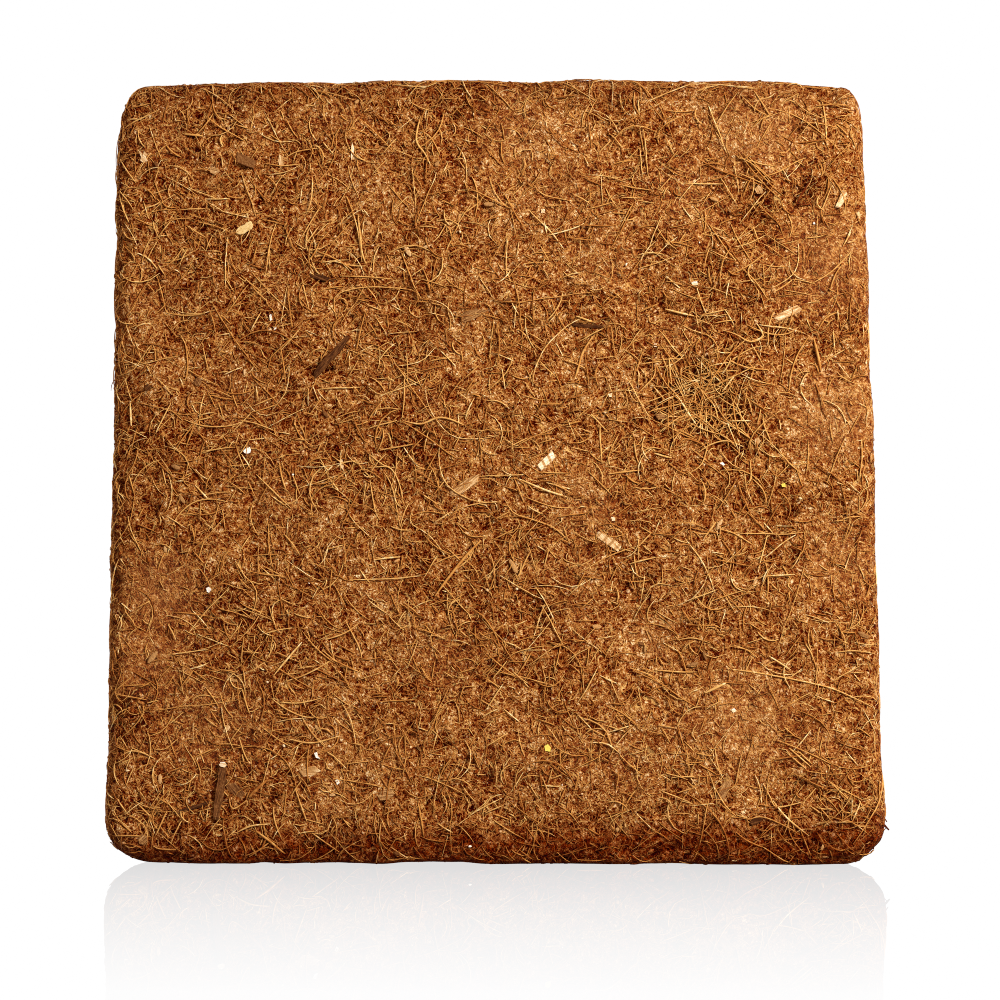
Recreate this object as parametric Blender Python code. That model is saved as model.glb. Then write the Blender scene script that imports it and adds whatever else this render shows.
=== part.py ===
"""Pressed coconut coir bale: one slab of coir pith and fibre, standing on its narrow edge.

Metres, +Z up. The front of the slab faces -Y and the origin is at the middle of its foot.
"""

import math

import bmesh
import bpy
from mathutils import Vector, noise

# Driving dimensions
BALE_WIDTH = 0.3005
BALE_HEIGHT = 0.3119
BALE_DEPTH = 0.1200

# The mould has a little draft, so the slab is wider at its foot, and it sprang a little to one side
DRAFT_SHARE = 0.022
LEAN_SHARE = 0.008
TOP_CROWN = 0.0009
FACE_CROWN = 0.0016

# Outline of each corner, seen from the front: a quarter ellipse with this reach (across, up)
CORNER_TOP_LEFT = (0.0098, 0.0280)
CORNER_TOP_RIGHT = (0.0078, 0.0220)
CORNER_FOOT_LEFT = (0.0380, 0.0175)
CORNER_FOOT_RIGHT = (0.0370, 0.0195)

# Radius between the broad faces and each narrow wall
EDGE_LEFT = 0.0080
EDGE_RIGHT = 0.0070
EDGE_TOP = 0.0055
EDGE_FOOT = 0.0125
EDGE_BLEND_POWER = 6

# Lengths and shares below this count as nothing
TINY = 1e-9

# Rows of faces, packed closer near the slab's edges
ROWS_ACROSS = 34
ROWS_DEEP = 13
EDGE_PACKING = 0.34

# Uneven pressed surface: (size of the lumps, height of the lumps)
BROAD_LUMPS = (0.070, 0.0012)
MIDDLE_LUMPS = (0.026, 0.0020)
SMALL_LUMPS = (0.015, 0.0014)
LUMP_SHIFT = Vector((3.1, 7.7, 1.3))

# The mould's walls left the narrow sides smoother: their share of the lumps' height
SIDE_LUMP_SHARE = 0.45

# Marks on the front: (distance right of the middle, height, radius, depth), a negative depth is a clod
FRONT_MARKS = (
    (0.080, 0.180, 0.0230, 0.0034),  # loose tangle right of the middle
    (0.126, 0.264, 0.0110, 0.0030),  # broken ledge near the top right
    (0.137, 0.256, 0.0090, -0.0018),  # clod beside that ledge
    (-0.036, 0.217, 0.0200, 0.0020),  # darker dip above the middle
    (-0.058, 0.170, 0.0230, 0.0016),  # dip left of the middle
    (-0.020, 0.232, 0.0150, -0.0014),  # swelling above the middle
    (-0.105, 0.055, 0.0180, 0.0018),  # dip round the stick at the foot
    (-0.104, 0.118, 0.0240, -0.0013),  # smooth swelling low on the left
    (0.030, 0.038, 0.0240, -0.0014),  # swelling low in the middle
    (0.098, 0.232, 0.0230, -0.0013),  # pale swelling at the top right
    (-0.060, 0.262, 0.0180, 0.0017),  # dip at the upper left
    (0.062, 0.085, 0.0220, 0.0015),  # dip at the lower right
    (-0.010, 0.105, 0.0200, 0.0016),  # dip below the middle
    (-0.128, 0.212, 0.0140, 0.0015),  # dip by the left edge
)

# Marks on the back: (distance right of the middle seen from the front, height, radius, depth)
BACK_MARKS = (
    (-0.070, 0.225, 0.0250, 0.0030),
    (0.052, 0.095, 0.0220, 0.0024),
    (0.098, 0.252, 0.0180, -0.0016),
    (-0.112, 0.082, 0.0200, -0.0016),
    (0.010, 0.170, 0.0260, 0.0018),
    (0.118, 0.160, 0.0170, 0.0022),
    (-0.025, 0.045, 0.0210, -0.0014),
)

# Chipped places on the slab's edges: (right of the middle, behind the middle, height, radius, depth)
EDGE_CHIPS = (
    (0.134, -0.050, 0.312, 0.0260, 0.0030),
    (-0.147, -0.050, 0.300, 0.0200, 0.0013),
    (-0.148, -0.056, 0.246, 0.0130, 0.0012),
    (-0.060, -0.056, 0.010, 0.0200, 0.0018),
    (0.070, -0.056, 0.011, 0.0260, 0.0022),
    (-0.148, 0.052, 0.120, 0.0220, 0.0028),
    (0.148, 0.050, 0.205, 0.0200, 0.0024),
    (0.040, 0.056, 0.303, 0.0230, 0.0026),
    (-0.149, 0.000, 0.060, 0.0240, 0.0010),
    (0.150, 0.010, 0.110, 0.0240, 0.0010),
    (0.152, -0.045, 0.022, 0.0300, -0.0014),
)

# The foot is pressed flat up to this height above its lowest lump, so its corners look cut
FOOT_PRESSED = 0.0048

COIR_COLOUR = (0.305, 0.108, 0.030, 1.0)
COIR_ROUGHNESS = 0.95


def clear_scene():
    for obj in list(bpy.data.objects):
        bpy.data.objects.remove(obj, do_unlink=True)


def coir_material():
    material = bpy.data.materials.new("coir")
    material.use_nodes = True
    material.diffuse_color = COIR_COLOUR
    shader = material.node_tree.nodes["Principled BSDF"]
    shader.inputs["Base Color"].default_value = COIR_COLOUR
    shader.inputs["Roughness"].default_value = COIR_ROUGHNESS
    shader.inputs["Metallic"].default_value = 0.0
    return material


def packed_towards_ends(share):
    """Moves a share from -1 to 1 so that an even grid gets closer rows at both ends."""
    return share + EDGE_PACKING * math.sin(math.pi * share) / math.pi


def corner_reach(x, z):
    """Reach of the outline's corner that a point belongs to. z is from the slab's middle."""
    if z > 0:
        return CORNER_TOP_RIGHT if x > 0 else CORNER_TOP_LEFT
    return CORNER_FOOT_RIGHT if x > 0 else CORNER_FOOT_LEFT


def edge_radius(x, z, half_width, half_height):
    """Radius between a broad face and the narrow wall nearest to a point."""
    side = (abs(x) / half_width) ** EDGE_BLEND_POWER
    end = (abs(z) / half_height) ** EDGE_BLEND_POWER
    side_radius = EDGE_RIGHT if x > 0 else EDGE_LEFT
    end_radius = EDGE_TOP if z > 0 else EDGE_FOOT
    return (side * side_radius + end * end_radius) / max(side + end, TINY)


def square_to_round(u, v):
    """Turns the corner of a square into a quarter circle of the same reach."""
    reach = math.hypot(u, v)
    if reach < TINY:
        return u, v
    scale = max(abs(u), abs(v)) / reach
    return u * scale, v * scale


def rounded_slab_point(point):
    """Takes a point of the plain box to the slab with its rounded corners and edges."""
    half_width, half_depth, half_height = BALE_WIDTH / 2, BALE_DEPTH / 2, BALE_HEIGHT / 2
    x, y, z = point
    inset = min(half_width - abs(x), half_height - abs(z))

    reach_x, reach_z = corner_reach(x, z)
    over_x = max(0.0, abs(x) - (half_width - reach_x))
    over_z = max(0.0, abs(z) - (half_height - reach_z))
    round_x, round_z = square_to_round(over_x / reach_x, over_z / reach_z)
    new_x = math.copysign(abs(x) - over_x + round_x * reach_x, x)
    new_z = math.copysign(abs(z) - over_z + round_z * reach_z, z)

    edge = edge_radius(x, z, half_width, half_height)
    near_wall = max(0.0, edge - inset)
    near_face = max(0.0, abs(y) - (half_depth - edge))
    round_wall, round_face = square_to_round(near_wall, near_face)
    new_y = math.copysign(abs(y) - near_face + round_face, y)

    if over_x > 0 and over_z > 0:
        slope_x = math.copysign(round_x / reach_x, x)
        slope_z = math.copysign(round_z / reach_z, z)
        outward = Vector((slope_x, 0, slope_z)).normalized()
    elif half_width - abs(x) < half_height - abs(z):
        outward = Vector((math.copysign(1, x), 0, 0))
    else:
        outward = Vector((0, 0, math.copysign(1, z)))
    return Vector((new_x, new_y, new_z)) - outward * (near_wall - round_wall)


def shaped_by_mould(point):
    """Adds the draft, the lean and the crown that the slab took when it sprang out of the mould."""
    rise = point.z / BALE_HEIGHT
    across = point.x / (BALE_WIDTH / 2)
    up = point.z / (BALE_HEIGHT / 2)
    bulge = (1 - across**2) * (1 - up**2)
    x = point.x * (1 - DRAFT_SHARE * rise) - LEAN_SHARE * BALE_WIDTH * rise
    y = point.y * (1 + 2 * FACE_CROWN / BALE_DEPTH * max(0.0, bulge))
    z = point.z + (TOP_CROWN * (1 - across**2) if point.z > 0 else 0.0)
    return Vector((x, y, z))


def lump_height(point, normal):
    """Height of the uneven surface at a point, from lumps of three sizes."""
    total = 0.0
    for number, (size, height) in enumerate((BROAD_LUMPS, MIDDLE_LUMPS, SMALL_LUMPS)):
        total += height * noise.noise(point / size + LUMP_SHIFT * (number + 1))
    facing_broad_side = abs(normal.y)
    return total * (SIDE_LUMP_SHARE + (1 - SIDE_LUMP_SHARE) * facing_broad_side)


def soft_spot(distance, radius):
    """1 in the middle of a mark and 0 past its radius, with smooth shoulders."""
    share = min(1.0, distance / radius)
    return (1 - share * share) ** 2


def mark_depth(point):
    """How deep the marks cut at a point. A clod gives a negative depth."""
    depth = 0.0
    marks = ()
    if abs(point.y) > BALE_DEPTH / 4:
        marks = FRONT_MARKS if point.y < 0 else BACK_MARKS
    for right, height, radius, cut in marks:
        distance = math.hypot(point.x - right, point.z + BALE_HEIGHT / 2 - height)
        depth += cut * soft_spot(distance, radius)
    for right, behind, height, radius, cut in EDGE_CHIPS:
        away = point - Vector((right, behind, height - BALE_HEIGHT / 2))
        depth += cut * soft_spot(away.length, radius)
    return depth


def box_grid():
    """A closed box whose faces carry the grid that the slab is shaped from."""
    mesh = bmesh.new()
    bmesh.ops.create_cube(mesh, size=2.0)
    for axis, rows in ((0, ROWS_ACROSS), (1, ROWS_DEEP), (2, ROWS_ACROSS)):
        for row in range(1, rows):
            place = packed_towards_ends(2 * row / rows - 1)
            origin = Vector((0, 0, 0))
            origin[axis] = place
            normal = Vector((0, 0, 0))
            normal[axis] = 1
            everything = mesh.verts[:] + mesh.edges[:] + mesh.faces[:]
            bmesh.ops.bisect_plane(mesh, geom=everything, plane_co=origin, plane_no=normal)
    for vertex in mesh.verts:
        vertex.co.x *= BALE_WIDTH / 2
        vertex.co.y *= BALE_DEPTH / 2
        vertex.co.z *= BALE_HEIGHT / 2
    return mesh


def press_foot(mesh):
    """Flattens the lowest lumps into the plane that the slab stands on."""
    lowest = min(vertex.co.z for vertex in mesh.verts)
    floor = lowest + FOOT_PRESSED
    for vertex in mesh.verts:
        vertex.co.z = max(vertex.co.z, floor)


def centre_on_foot(mesh):
    """Puts the origin in the middle of the slab's footprint, at floor height."""
    lows = [min(vertex.co[axis] for vertex in mesh.verts) for axis in range(3)]
    highs = [max(vertex.co[axis] for vertex in mesh.verts) for axis in range(3)]
    shift = Vector(((lows[0] + highs[0]) / 2, (lows[1] + highs[1]) / 2, lows[2]))
    bmesh.ops.translate(mesh, verts=mesh.verts[:], vec=-shift)


def coir_bale(collection):
    mesh = box_grid()
    for vertex in mesh.verts:
        vertex.co = shaped_by_mould(rounded_slab_point(vertex.co))
    mesh.normal_update()
    moved = {}
    for vertex in mesh.verts:
        offset = lump_height(vertex.co, vertex.normal) - mark_depth(vertex.co)
        moved[vertex] = vertex.co + vertex.normal * offset
    for vertex, place in moved.items():
        vertex.co = place
    press_foot(mesh)
    centre_on_foot(mesh)
    bmesh.ops.triangulate(mesh, faces=mesh.faces[:])
    bmesh.ops.recalc_face_normals(mesh, faces=mesh.faces[:])

    data = bpy.data.meshes.new("coir_bale")
    mesh.to_mesh(data)
    mesh.free()
    data.materials.append(coir_material())
    data.shade_smooth()
    bale = bpy.data.objects.new("coir_bale", data)
    collection.objects.link(bale)
    return bale


def main():
    clear_scene()
    collection = bpy.data.collections.new("coconut_coir_bale")
    bpy.context.scene.collection.children.link(collection)
    coir_bale(collection)


main()
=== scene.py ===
import math
import random

import bpy
import bmesh
import numpy as np
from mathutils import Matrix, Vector, noise
from mathutils.bvhtree import BVHTree


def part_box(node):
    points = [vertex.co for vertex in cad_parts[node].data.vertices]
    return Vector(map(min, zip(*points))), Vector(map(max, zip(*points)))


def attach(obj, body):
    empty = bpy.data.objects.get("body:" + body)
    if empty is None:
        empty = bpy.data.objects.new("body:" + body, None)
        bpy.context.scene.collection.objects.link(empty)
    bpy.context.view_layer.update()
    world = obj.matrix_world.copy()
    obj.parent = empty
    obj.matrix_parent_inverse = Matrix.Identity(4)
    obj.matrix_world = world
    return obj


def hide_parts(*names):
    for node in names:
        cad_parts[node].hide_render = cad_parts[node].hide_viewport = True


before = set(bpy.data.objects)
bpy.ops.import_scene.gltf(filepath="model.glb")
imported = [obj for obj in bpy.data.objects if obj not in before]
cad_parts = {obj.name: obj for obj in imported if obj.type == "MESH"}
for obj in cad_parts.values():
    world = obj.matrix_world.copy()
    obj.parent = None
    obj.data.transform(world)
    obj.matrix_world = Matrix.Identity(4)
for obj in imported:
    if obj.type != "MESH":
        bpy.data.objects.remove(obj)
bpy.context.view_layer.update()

mm = 0.001
bale = "coir_bale"
bodyName = "root"
boxLow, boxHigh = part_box(bale)
white = (1.0, 1.0, 1.0, 1.0)


# helpers for objects and node trees

def newObject(name, data):
    item = bpy.data.objects.new(name, data)
    bpy.context.scene.collection.objects.link(item)
    return item


def evaluatedMesh(item):
    return bpy.data.meshes.new_from_object(item.evaluated_get(bpy.context.evaluated_depsgraph_get()))


def connect(tree, socket, value):
    if isinstance(value, bpy.types.NodeSocket):
        tree.links.new(value, socket)
    else:
        socket.default_value = value


# values: socket name or number -> constant or another node's socket
def addNode(tree, kind, values=None, **settings):
    node = tree.nodes.new(kind)
    for name, value in settings.items():
        setattr(node, name, value)
    for key, value in (values or {}).items():
        connect(tree, node.inputs[key], value)
    return node


# the same, where only the node's first output is used
def made(tree, kind, values=None, **settings):
    return addNode(tree, kind, values, **settings).outputs[0]


def maths(tree, operation, *values):
    return made(tree, "ShaderNodeMath", dict(enumerate(values)), operation=operation)


# two or more values in one chain, from left to right
def chain(tree, operation, values):
    result = values[0]
    for value in values[1:]:
        result = maths(tree, operation, result, value)
    return result


def times(tree, *values):
    return chain(tree, "MULTIPLY", values)


def plus(tree, *values):
    return chain(tree, "ADD", values)


# 1 less the product of the values
def oneMinus(tree, *values):
    return maths(tree, "SUBTRACT", 1.0, times(tree, *values))


# keep a maths node's result between 0 and 1
def clamped(socket):
    socket.node.use_clamp = True
    return socket


def vectorMaths(tree, operation, *values):
    node = addNode(tree, "ShaderNodeVectorMath", dict(enumerate(values)), operation=operation)
    return node.outputs["Value" if operation in {"DOT_PRODUCT", "LENGTH", "DISTANCE"} else "Vector"]


def scaled(tree, vector, factor):
    return made(tree, "ShaderNodeVectorMath", {0: vector, "Scale": factor}, operation="SCALE")


def separated(tree, vector):
    return addNode(tree, "ShaderNodeSeparateXYZ", {0: vector}).outputs


def combined(tree, x=0.0, y=0.0, z=0.0):
    return made(tree, "ShaderNodeCombineXYZ", {0: x, 1: y, 2: z})


def remap(tree, value, low, high, newLow=0.0, newHigh=1.0, kind="SMOOTHSTEP"):
    return made(tree, "ShaderNodeMapRange", {"Value": value, "From Min": low, "From Max": high,
                                             "To Min": newLow, "To Max": newHigh}, interpolation_type=kind)


def ramp(tree, value, limits):
    return remap(tree, value, *limits, "LINEAR")


# settings: scale, detail, roughness, distortion
def noiseNode(tree, place, settings):
    names = ("Scale", "Detail", "Roughness", "Distortion")
    return addNode(tree, "ShaderNodeTexNoise", {"Vector": place, **dict(zip(names, settings))}).outputs


def whiteNoise(tree, place):
    return addNode(tree, "ShaderNodeTexWhiteNoise", {"Vector": place}).outputs["Value"]


def mixColour(tree, factor, first, second, blend="MIX"):
    node = addNode(tree, "ShaderNodeMix", {}, data_type="RGBA", blend_type=blend)
    inputs = {socket.identifier: socket for socket in node.inputs}
    for key, value in (("Factor_Float", factor), ("A_Color", first), ("B_Color", second)):
        connect(tree, inputs[key], value)
    return next(socket for socket in node.outputs if socket.identifier == "Result_Color")


# stops: (place, linear colour), from low to high
def colourRamp(tree, value, stops):
    node = addNode(tree, "ShaderNodeValToRGB", {"Fac": value})
    elements = node.color_ramp.elements
    while len(elements) < len(stops):
        elements.new(0.5)
    for element, (place, colour) in zip(elements, stops):
        element.position = place
        element.color = colour
    return node.outputs["Color"]


# a colour as seen on screen, 0 to 255, to Blender's linear values
def fromScreen(*colour):
    return (*(((c / 255 + 0.055) / 1.055) ** 2.4 if c > 10 else c / 255 / 12.92 for c in colour), 1.0)


socketKinds = {float: "Float", int: "Int", tuple: "Vector"}


# inputs: name -> default value, or the socket's kind where it has none
def newTree(name, treeKind, inputs, outputs):
    tree = bpy.data.node_groups.new(name, treeKind)
    for socketName, value in inputs.items():
        bare = isinstance(value, str)
        kind = "NodeSocket" + (value if bare else socketKinds[type(value)])
        socket = tree.interface.new_socket(socketName, in_out="INPUT", socket_type=kind)
        if not bare:
            socket.default_value = value
    for socketName, kind in outputs.items():
        tree.interface.new_socket(socketName, in_out="OUTPUT", socket_type="NodeSocket" + kind)
    return tree, tree.nodes.new("NodeGroupInput").outputs, tree.nodes.new("NodeGroupOutput").inputs


# camera, low in front of the bale and tilted up a little

view = {
    "distance": 1.0,       # from the front face
    "height": 0.067,
    "tiltDegrees": 4.235,
    "aside": 0.034,
    "panDegrees": 1.79,
    "lens": 93.0,
    "sensor": 36.0,
    "imageSize": 1000,
    "nearest": 0.05,
    "filterWidth": 1.0,    # pixels
}
lightPaths = {"max_bounces": 4, "diffuse_bounces": 2, "glossy_bounces": 2, "transmission_bounces": 0}


def makeCamera():
    data = bpy.data.cameras.new("photoCamera")
    data.lens = view["lens"]
    data.sensor_width = view["sensor"]
    data.clip_start = view["nearest"]
    camera = newObject("photoCamera", data)
    camera.location = (view["aside"], boxLow.y - view["distance"], view["height"])
    camera.rotation_euler = (math.radians(90 + view["tiltDegrees"]), 0, math.radians(view["panDegrees"]))
    bpy.context.scene.camera = camera
    bpy.context.view_layer.update()
    return camera


# the line of sight through a pixel of the 1000 x 1000 frame
def pixelRay(pixel):
    focal = view["lens"] / view["sensor"] * view["imageSize"]
    half = view["imageSize"] / 2
    direction = Vector(((pixel[0] - half) / focal, (half - pixel[1]) / focal, -1))
    return camera.matrix_world.translation, (camera.matrix_world.to_3x3() @ direction).normalized()


camera = makeCamera()
bpy.context.scene.view_settings.view_transform = "Standard"
for name, count in lightPaths.items():
    setattr(bpy.context.scene.cycles, name, count)
bpy.context.scene.cycles.use_denoising = False     # it would smear the fine fibres
bpy.context.scene.cycles.filter_width = view["filterWidth"]
print("camera done")


# the bale's surface: a smooth skin from the CAD solid, and the rough body cut into it

body = {
    "smoothLevels": 2,
    "weld": 0.01 * mm,
    "voxel": 1.92 * mm,
    "settle": 0.05 * mm,          # how far the whole surface lies under the loose fibres
    "lumps": ((9.0 * mm, 0.7 * mm), (5.2 * mm, 1.0 * mm), (3.3 * mm, 0.8 * mm)),   # (size, depth)
    "lumpGain": (1.7, 1.2, 5.3),  # (steepness, highest, step between their seeds)
    "pitSize": 8.5 * mm,
    "pitReach": (0.42, 0.7),      # (radius in cells, power of the slope)
    "pitDepth": 1.9 * mm,
    "pitShare": 0.30,
    "pitChoice": 9.1,             # step in the noise that picks the cells with pits
    "pitTangle": (0.35, 0.65),    # (depth without a tangle, what a tangle adds)
    "tanglePits": (6.0 * mm, 40.1, 1.6, 1.3),      # (size, seed, steepness, power of the tangle)
    "tanglePitDepth": 2.6 * mm,
    "dustFills": (0.45, 0.8),     # share of the lumps and of the pits that dust fills
    "deepest": 3.6 * mm,
    "wall": (0.85, 0.35, 0.5),    # (normal's y, fade, smoothing), the narrow walls are pressed smoother
    "foot": (0.8, 0.15, 0.85),    # the same for the foot, by the normal's z
    "frontFrom": -0.5,            # the front's normals have y below this
    "footBand": (19.0 * mm, 6.0 * mm, 0.4),   # where a rim gets tangled: (width, fade, strength)
    "topBand": (9.0 * mm, 6.0 * mm, 0.55),
    "leftBand": (11.0 * mm, 8.0 * mm, 0.55),
    "raggedBands": (0.6, 9.0 * mm, 5.1),      # (least, noise size, seed)
    "crumblyFoot": (14.0 * mm, 5.0 * mm, 0.5),     # below this the fibres are sparse: (height, fade, share)
    "patches": (42 * mm, 0.7, 0.4, 0.5, 3),   # (size, gain, finer size's share, its gain, its seed's step)
    "tanglePatches": (2.2, 0.10, 0.80),       # (seed, from, to)
    "dustyPatches": (17.5, 0.15, 0.90),
    "frontNoise": 0.5,            # the front's random patches against those of the other sides
    "seed": 11.7,
    "noiseShift": (1.0, -1.7, 0.6),       # how far a seed moves the noise on each axis
}

# places on the front where loose fibres lie thick over dark pits: (pixel, radius in mm, strength)
frontTangles = {
    "rightOfMiddle": ((702, 399), 27, 1.5),
    "belowRightTangle": ((640, 455), 15, 0.6),
    "leftOfMiddle": ((350, 480), 26, 0.4),
    "aboveMiddle": ((400, 350), 20, 0.4),
    "underMiddle": ((440, 585), 20, 0.3),
    "lowerRightCorner": ((830, 800), 28, 0.35),
    "lowerLeftCorner": ((150, 820), 22, 0.25),
    "leftEdge": ((140, 430), 20, 0.35),
    "upperLeft": ((210, 210), 24, 0.3),
    "underStick": ((300, 700), 20, 0.35),
    "upperRight": ((745, 190), 22, 0.4),
    "lowerMiddle": ((590, 770), 26, 0.25),
}

# places on the front that are smooth, pale and dusty
frontDusty = {
    "lowerLeft": ((160, 590), 26, 1.0),
    "lowLeftEdge": ((150, 660), 26, 0.7),
    "besideStick": ((215, 725), 34, 0.45),
    "upperRightEdge": ((830, 260), 34, 0.8),
    "topRight": ((755, 130), 34, 0.7),
    "rightEdge": ((845, 560), 24, 0.6),
    "middleLow": ((450, 650), 24, 0.45),
    "left": ((235, 400), 20, 0.3),
    "lowerRight": ((745, 715), 32, 0.6),
    "topMiddle": ((520, 130), 30, 0.5),
    "besideTangle": ((833, 415), 26, 0.9),
    "middle": ((600, 250), 26, 0.3),
    "goldenMiddle": ((590, 505), 22, 0.45),
    "goldenLow": ((652, 638), 13, 0.55),
    "goldenRight": ((808, 745), 20, 0.4),
    "goldenUpper": ((690, 195), 28, 0.4),
}

# broad paler and darker places on the front: (pixel, radius in mm, strength)
frontPale = {
    "topMiddle": ((560, 125), 30, 1.0),
    "topRight": ((690, 150), 26, 0.3),
    "upperMiddle": ((460, 240), 30, 0.5),
    "aboveMiddle": ((588, 370), 22, 0.6),
    "middle": ((560, 500), 28, 1.0),
    "rightOfMiddle": ((690, 500), 26, 0.7),
    "leftOfMiddle": ((430, 520), 26, 0.6),
    "rightEdge": ((800, 430), 22, 0.4),
    "low": ((648, 631), 16, 0.8),
    "lowRight": ((740, 710), 32, 0.6),
    "lowMiddle": ((600, 740), 30, 0.5),
    "lowLeft": ((450, 640), 22, 0.5),
}
# painted shade in part: the darker places along the left side stand in for the light falling off to the left,
# and the one at the ledge for its shadow
frontDark = {
    "topLeft": ((150, 130), 32, 0.9),
    "left": ((150, 260), 26, 0.5),
    "leftEdge": ((140, 490), 34, 1.0),
    "lowLeftEdge": ((125, 700), 34, 0.7),
    "besideHusk": ((325, 362), 14, 0.9),
    "centreLeft": ((410, 441), 15, 0.8),
    "lowLeft": ((400, 688), 22, 0.6),
    "lowMiddle": ((498, 760), 14, 0.7),
    "low": ((640, 596), 14, 0.7),
    "ledge": ((800, 185), 14, 0.9),
    "rightLow": ((780, 525), 24, 0.7),
}

# small dark holes between the fibres of the front: (pixel, radius in mm, strength)
frontPits = {
    "underLedge": ((806, 191), 3.6, 1.0),
    "besideLedge": ((797, 202), 3.2, 0.8),
    "tangleLeft": ((658, 408), 5.2, 0.84),
    "tangleFoot": ((667, 433), 4.0, 0.52),
    "tangleHigh": ((646, 364), 4.0, 0.43),
    "tangleRight": ((735, 408), 3.6, 0.52),
    "tangleMiddle": ((693, 392), 3.2, 0.35),
    "tangleUpper": ((723, 396), 3.4, 0.43),
    "tangleLow": ((716, 450), 3.6, 0.35),
    "overTangle": ((636, 298), 3.6, 0.28),
    "huskEnd": ((311, 370), 3.2, 0.35),
    "huskUnder": ((326, 366), 5.4, 0.52),
    "besideHusk": ((285, 390), 4.0, 0.35),
    "flakeSide": ((812, 352), 2.8, 0.21),
    "upperHollow": ((316, 213), 3.8, 0.28),
    "upperLeft": ((210, 125), 3.6, 0.28),
    "upperLeftLow": ((165, 165), 3.8, 0.35),
    "upperLeftRight": ((305, 155), 3.4, 0.28),
    "upperMiddle": ((410, 130), 3.4, 0.21),
    "upperRight": ((630, 175), 3.6, 0.28),
    "aboveMiddle": ((520, 235), 4.2, 0.39),
    "aboveMiddleLeft": ((420, 310), 3.8, 0.31),
    "aboveMiddleRight": ((570, 320), 3.6, 0.28),
    "leftUpper": ((320, 280), 3.4, 0.24),
    "leftHollow": ((245, 338), 4.4, 0.28),
    "nearMiddle": ((530, 360), 3.8, 0.31),
    "nearMiddleLow": ((505, 415), 4.0, 0.35),
    "middleLeft": ((420, 440), 4.0, 0.31),
    "middleLeftLow": ((440, 462), 3.2, 0.21),
    "leftEdge": ((150, 510), 5.0, 0.43),
    "besideLeftEdge": ((200, 525), 3.8, 0.28),
    "leftSmooth": ((155, 590), 3.2, 0.15),
    "right": ((780, 560), 4.2, 0.31),
    "rightLow": ((790, 510), 5.2, 0.52),
    "lowerMiddle": ((640, 595), 4.2, 0.39),
    "lowerMiddleLeft": ((590, 550), 3.8, 0.31),
    "lowerRight": ((650, 735), 4.2, 0.35),
    "lowMiddle": ((490, 760), 4.2, 0.35),
    "lowMiddleFoot": ((470, 810), 4.0, 0.31),
    "lowMiddleUpper": ((440, 695), 4.0, 0.35),
    "lowLeftMiddle": ((410, 680), 3.6, 0.28),
    "lowLeft": ((300, 685), 4.4, 0.39),
    "lowLeftBeside": ((260, 680), 3.8, 0.31),
    "footHollow": ((760, 838), 4.0, 0.35),
    "footLeft": ((215, 826), 3.4, 0.28),
}

# the same on the sides that the photo doesn't show: (point in mm, radius in mm, strength)
otherTangles = {
    "backUpperLeft": ((80, 63, 215), 38, 0.9),
    "backLow": ((-60, 63, 80), 34, 0.8),
    "backMiddle": ((-10, 63, 180), 24, 0.5),
    "backCorner": ((-125, 63, 265), 24, 0.7),
    "rightWallLow": ((152, 10, 95), 30, 0.8),
    "rightWallHigh": ((148, -15, 235), 24, 0.6),
    "leftWallMiddle": ((-150, 5, 160), 32, 0.8),
    "topLeft": ((-75, 5, 309), 32, 0.8),
    "topRight": ((95, -10, 309), 24, 0.6),
    "footMiddle": ((20, 0, 0), 40, 0.7),
}


# a closed even mesh with the CAD solid's form and no facets
def smoothSkin():
    mesh = bmesh.new()
    mesh.from_mesh(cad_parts[bale].data)
    bmesh.ops.remove_doubles(mesh, verts=mesh.verts[:], dist=body["weld"])
    data = bpy.data.meshes.new("skin")
    mesh.to_mesh(data)
    mesh.free()
    skin = newObject("skin", data)
    rounding = skin.modifiers.new("rounding", "SUBSURF")
    rounding.levels = rounding.render_levels = body["smoothLevels"]
    evening = skin.modifiers.new("evening", "REMESH")
    evening.mode = "VOXEL"
    evening.voxel_size = body["voxel"]
    even = evaluatedMesh(skin)
    skin.modifiers.clear()
    skin.data = even
    return skin


def readVectors(items, name):
    values = np.zeros(len(items) * 3, np.float32)
    items.foreach_get(name, values)
    return values.reshape(-1, 3).astype(float)


def softSpot(points, centre, radius):
    share = np.linalg.norm(points - np.array(centre), axis=1) / radius
    return np.clip(1 - share * share, 0, 1) ** 2


# 0 to 1: the strongest of the spots at each point
def spotField(points, tree, frontSpots, otherSpots=None):
    places = [(tree.ray_cast(*pixelRay(pixel))[0], radius, strength)
              for pixel, radius, strength in frontSpots.values()]
    places += [(Vector(point) * mm, radius, strength)
               for point, radius, strength in (otherSpots or {}).values()]
    value = np.zeros(len(points))
    for centre, radius, strength in places:
        value = np.maximum(value, strength * softSpot(points, centre, radius * mm))
    return np.minimum(value, 1.0)


def noiseAt(points, size, shift):
    offset = Vector([shift * share for share in body["noiseShift"]])
    return np.array([noise.noise(Vector(p) / size + offset) for p in points])


# 0 at a fade's start, 1 where it is complete
def fadeIn(value, fade):
    return np.clip(value / fade, 0, 1)


def setAttribute(data, name, values):
    attribute = data.attributes.get(name) or data.attributes.new(name, "FLOAT", "POINT")
    attribute.data.foreach_set("value", np.asarray(values, np.float32))


# 0 to 1: listed spots and the noise between them
def surfacePatches(points, spots, share, limits):
    seed, low, high = limits
    size, gain, finer, finerGain, step = body["patches"]
    field = noiseAt(points, size, seed) * gain + noiseAt(points, size * finer, seed + step) * finerGain
    return np.maximum(fadeIn(field - low, high - low) * share, spots)


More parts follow.
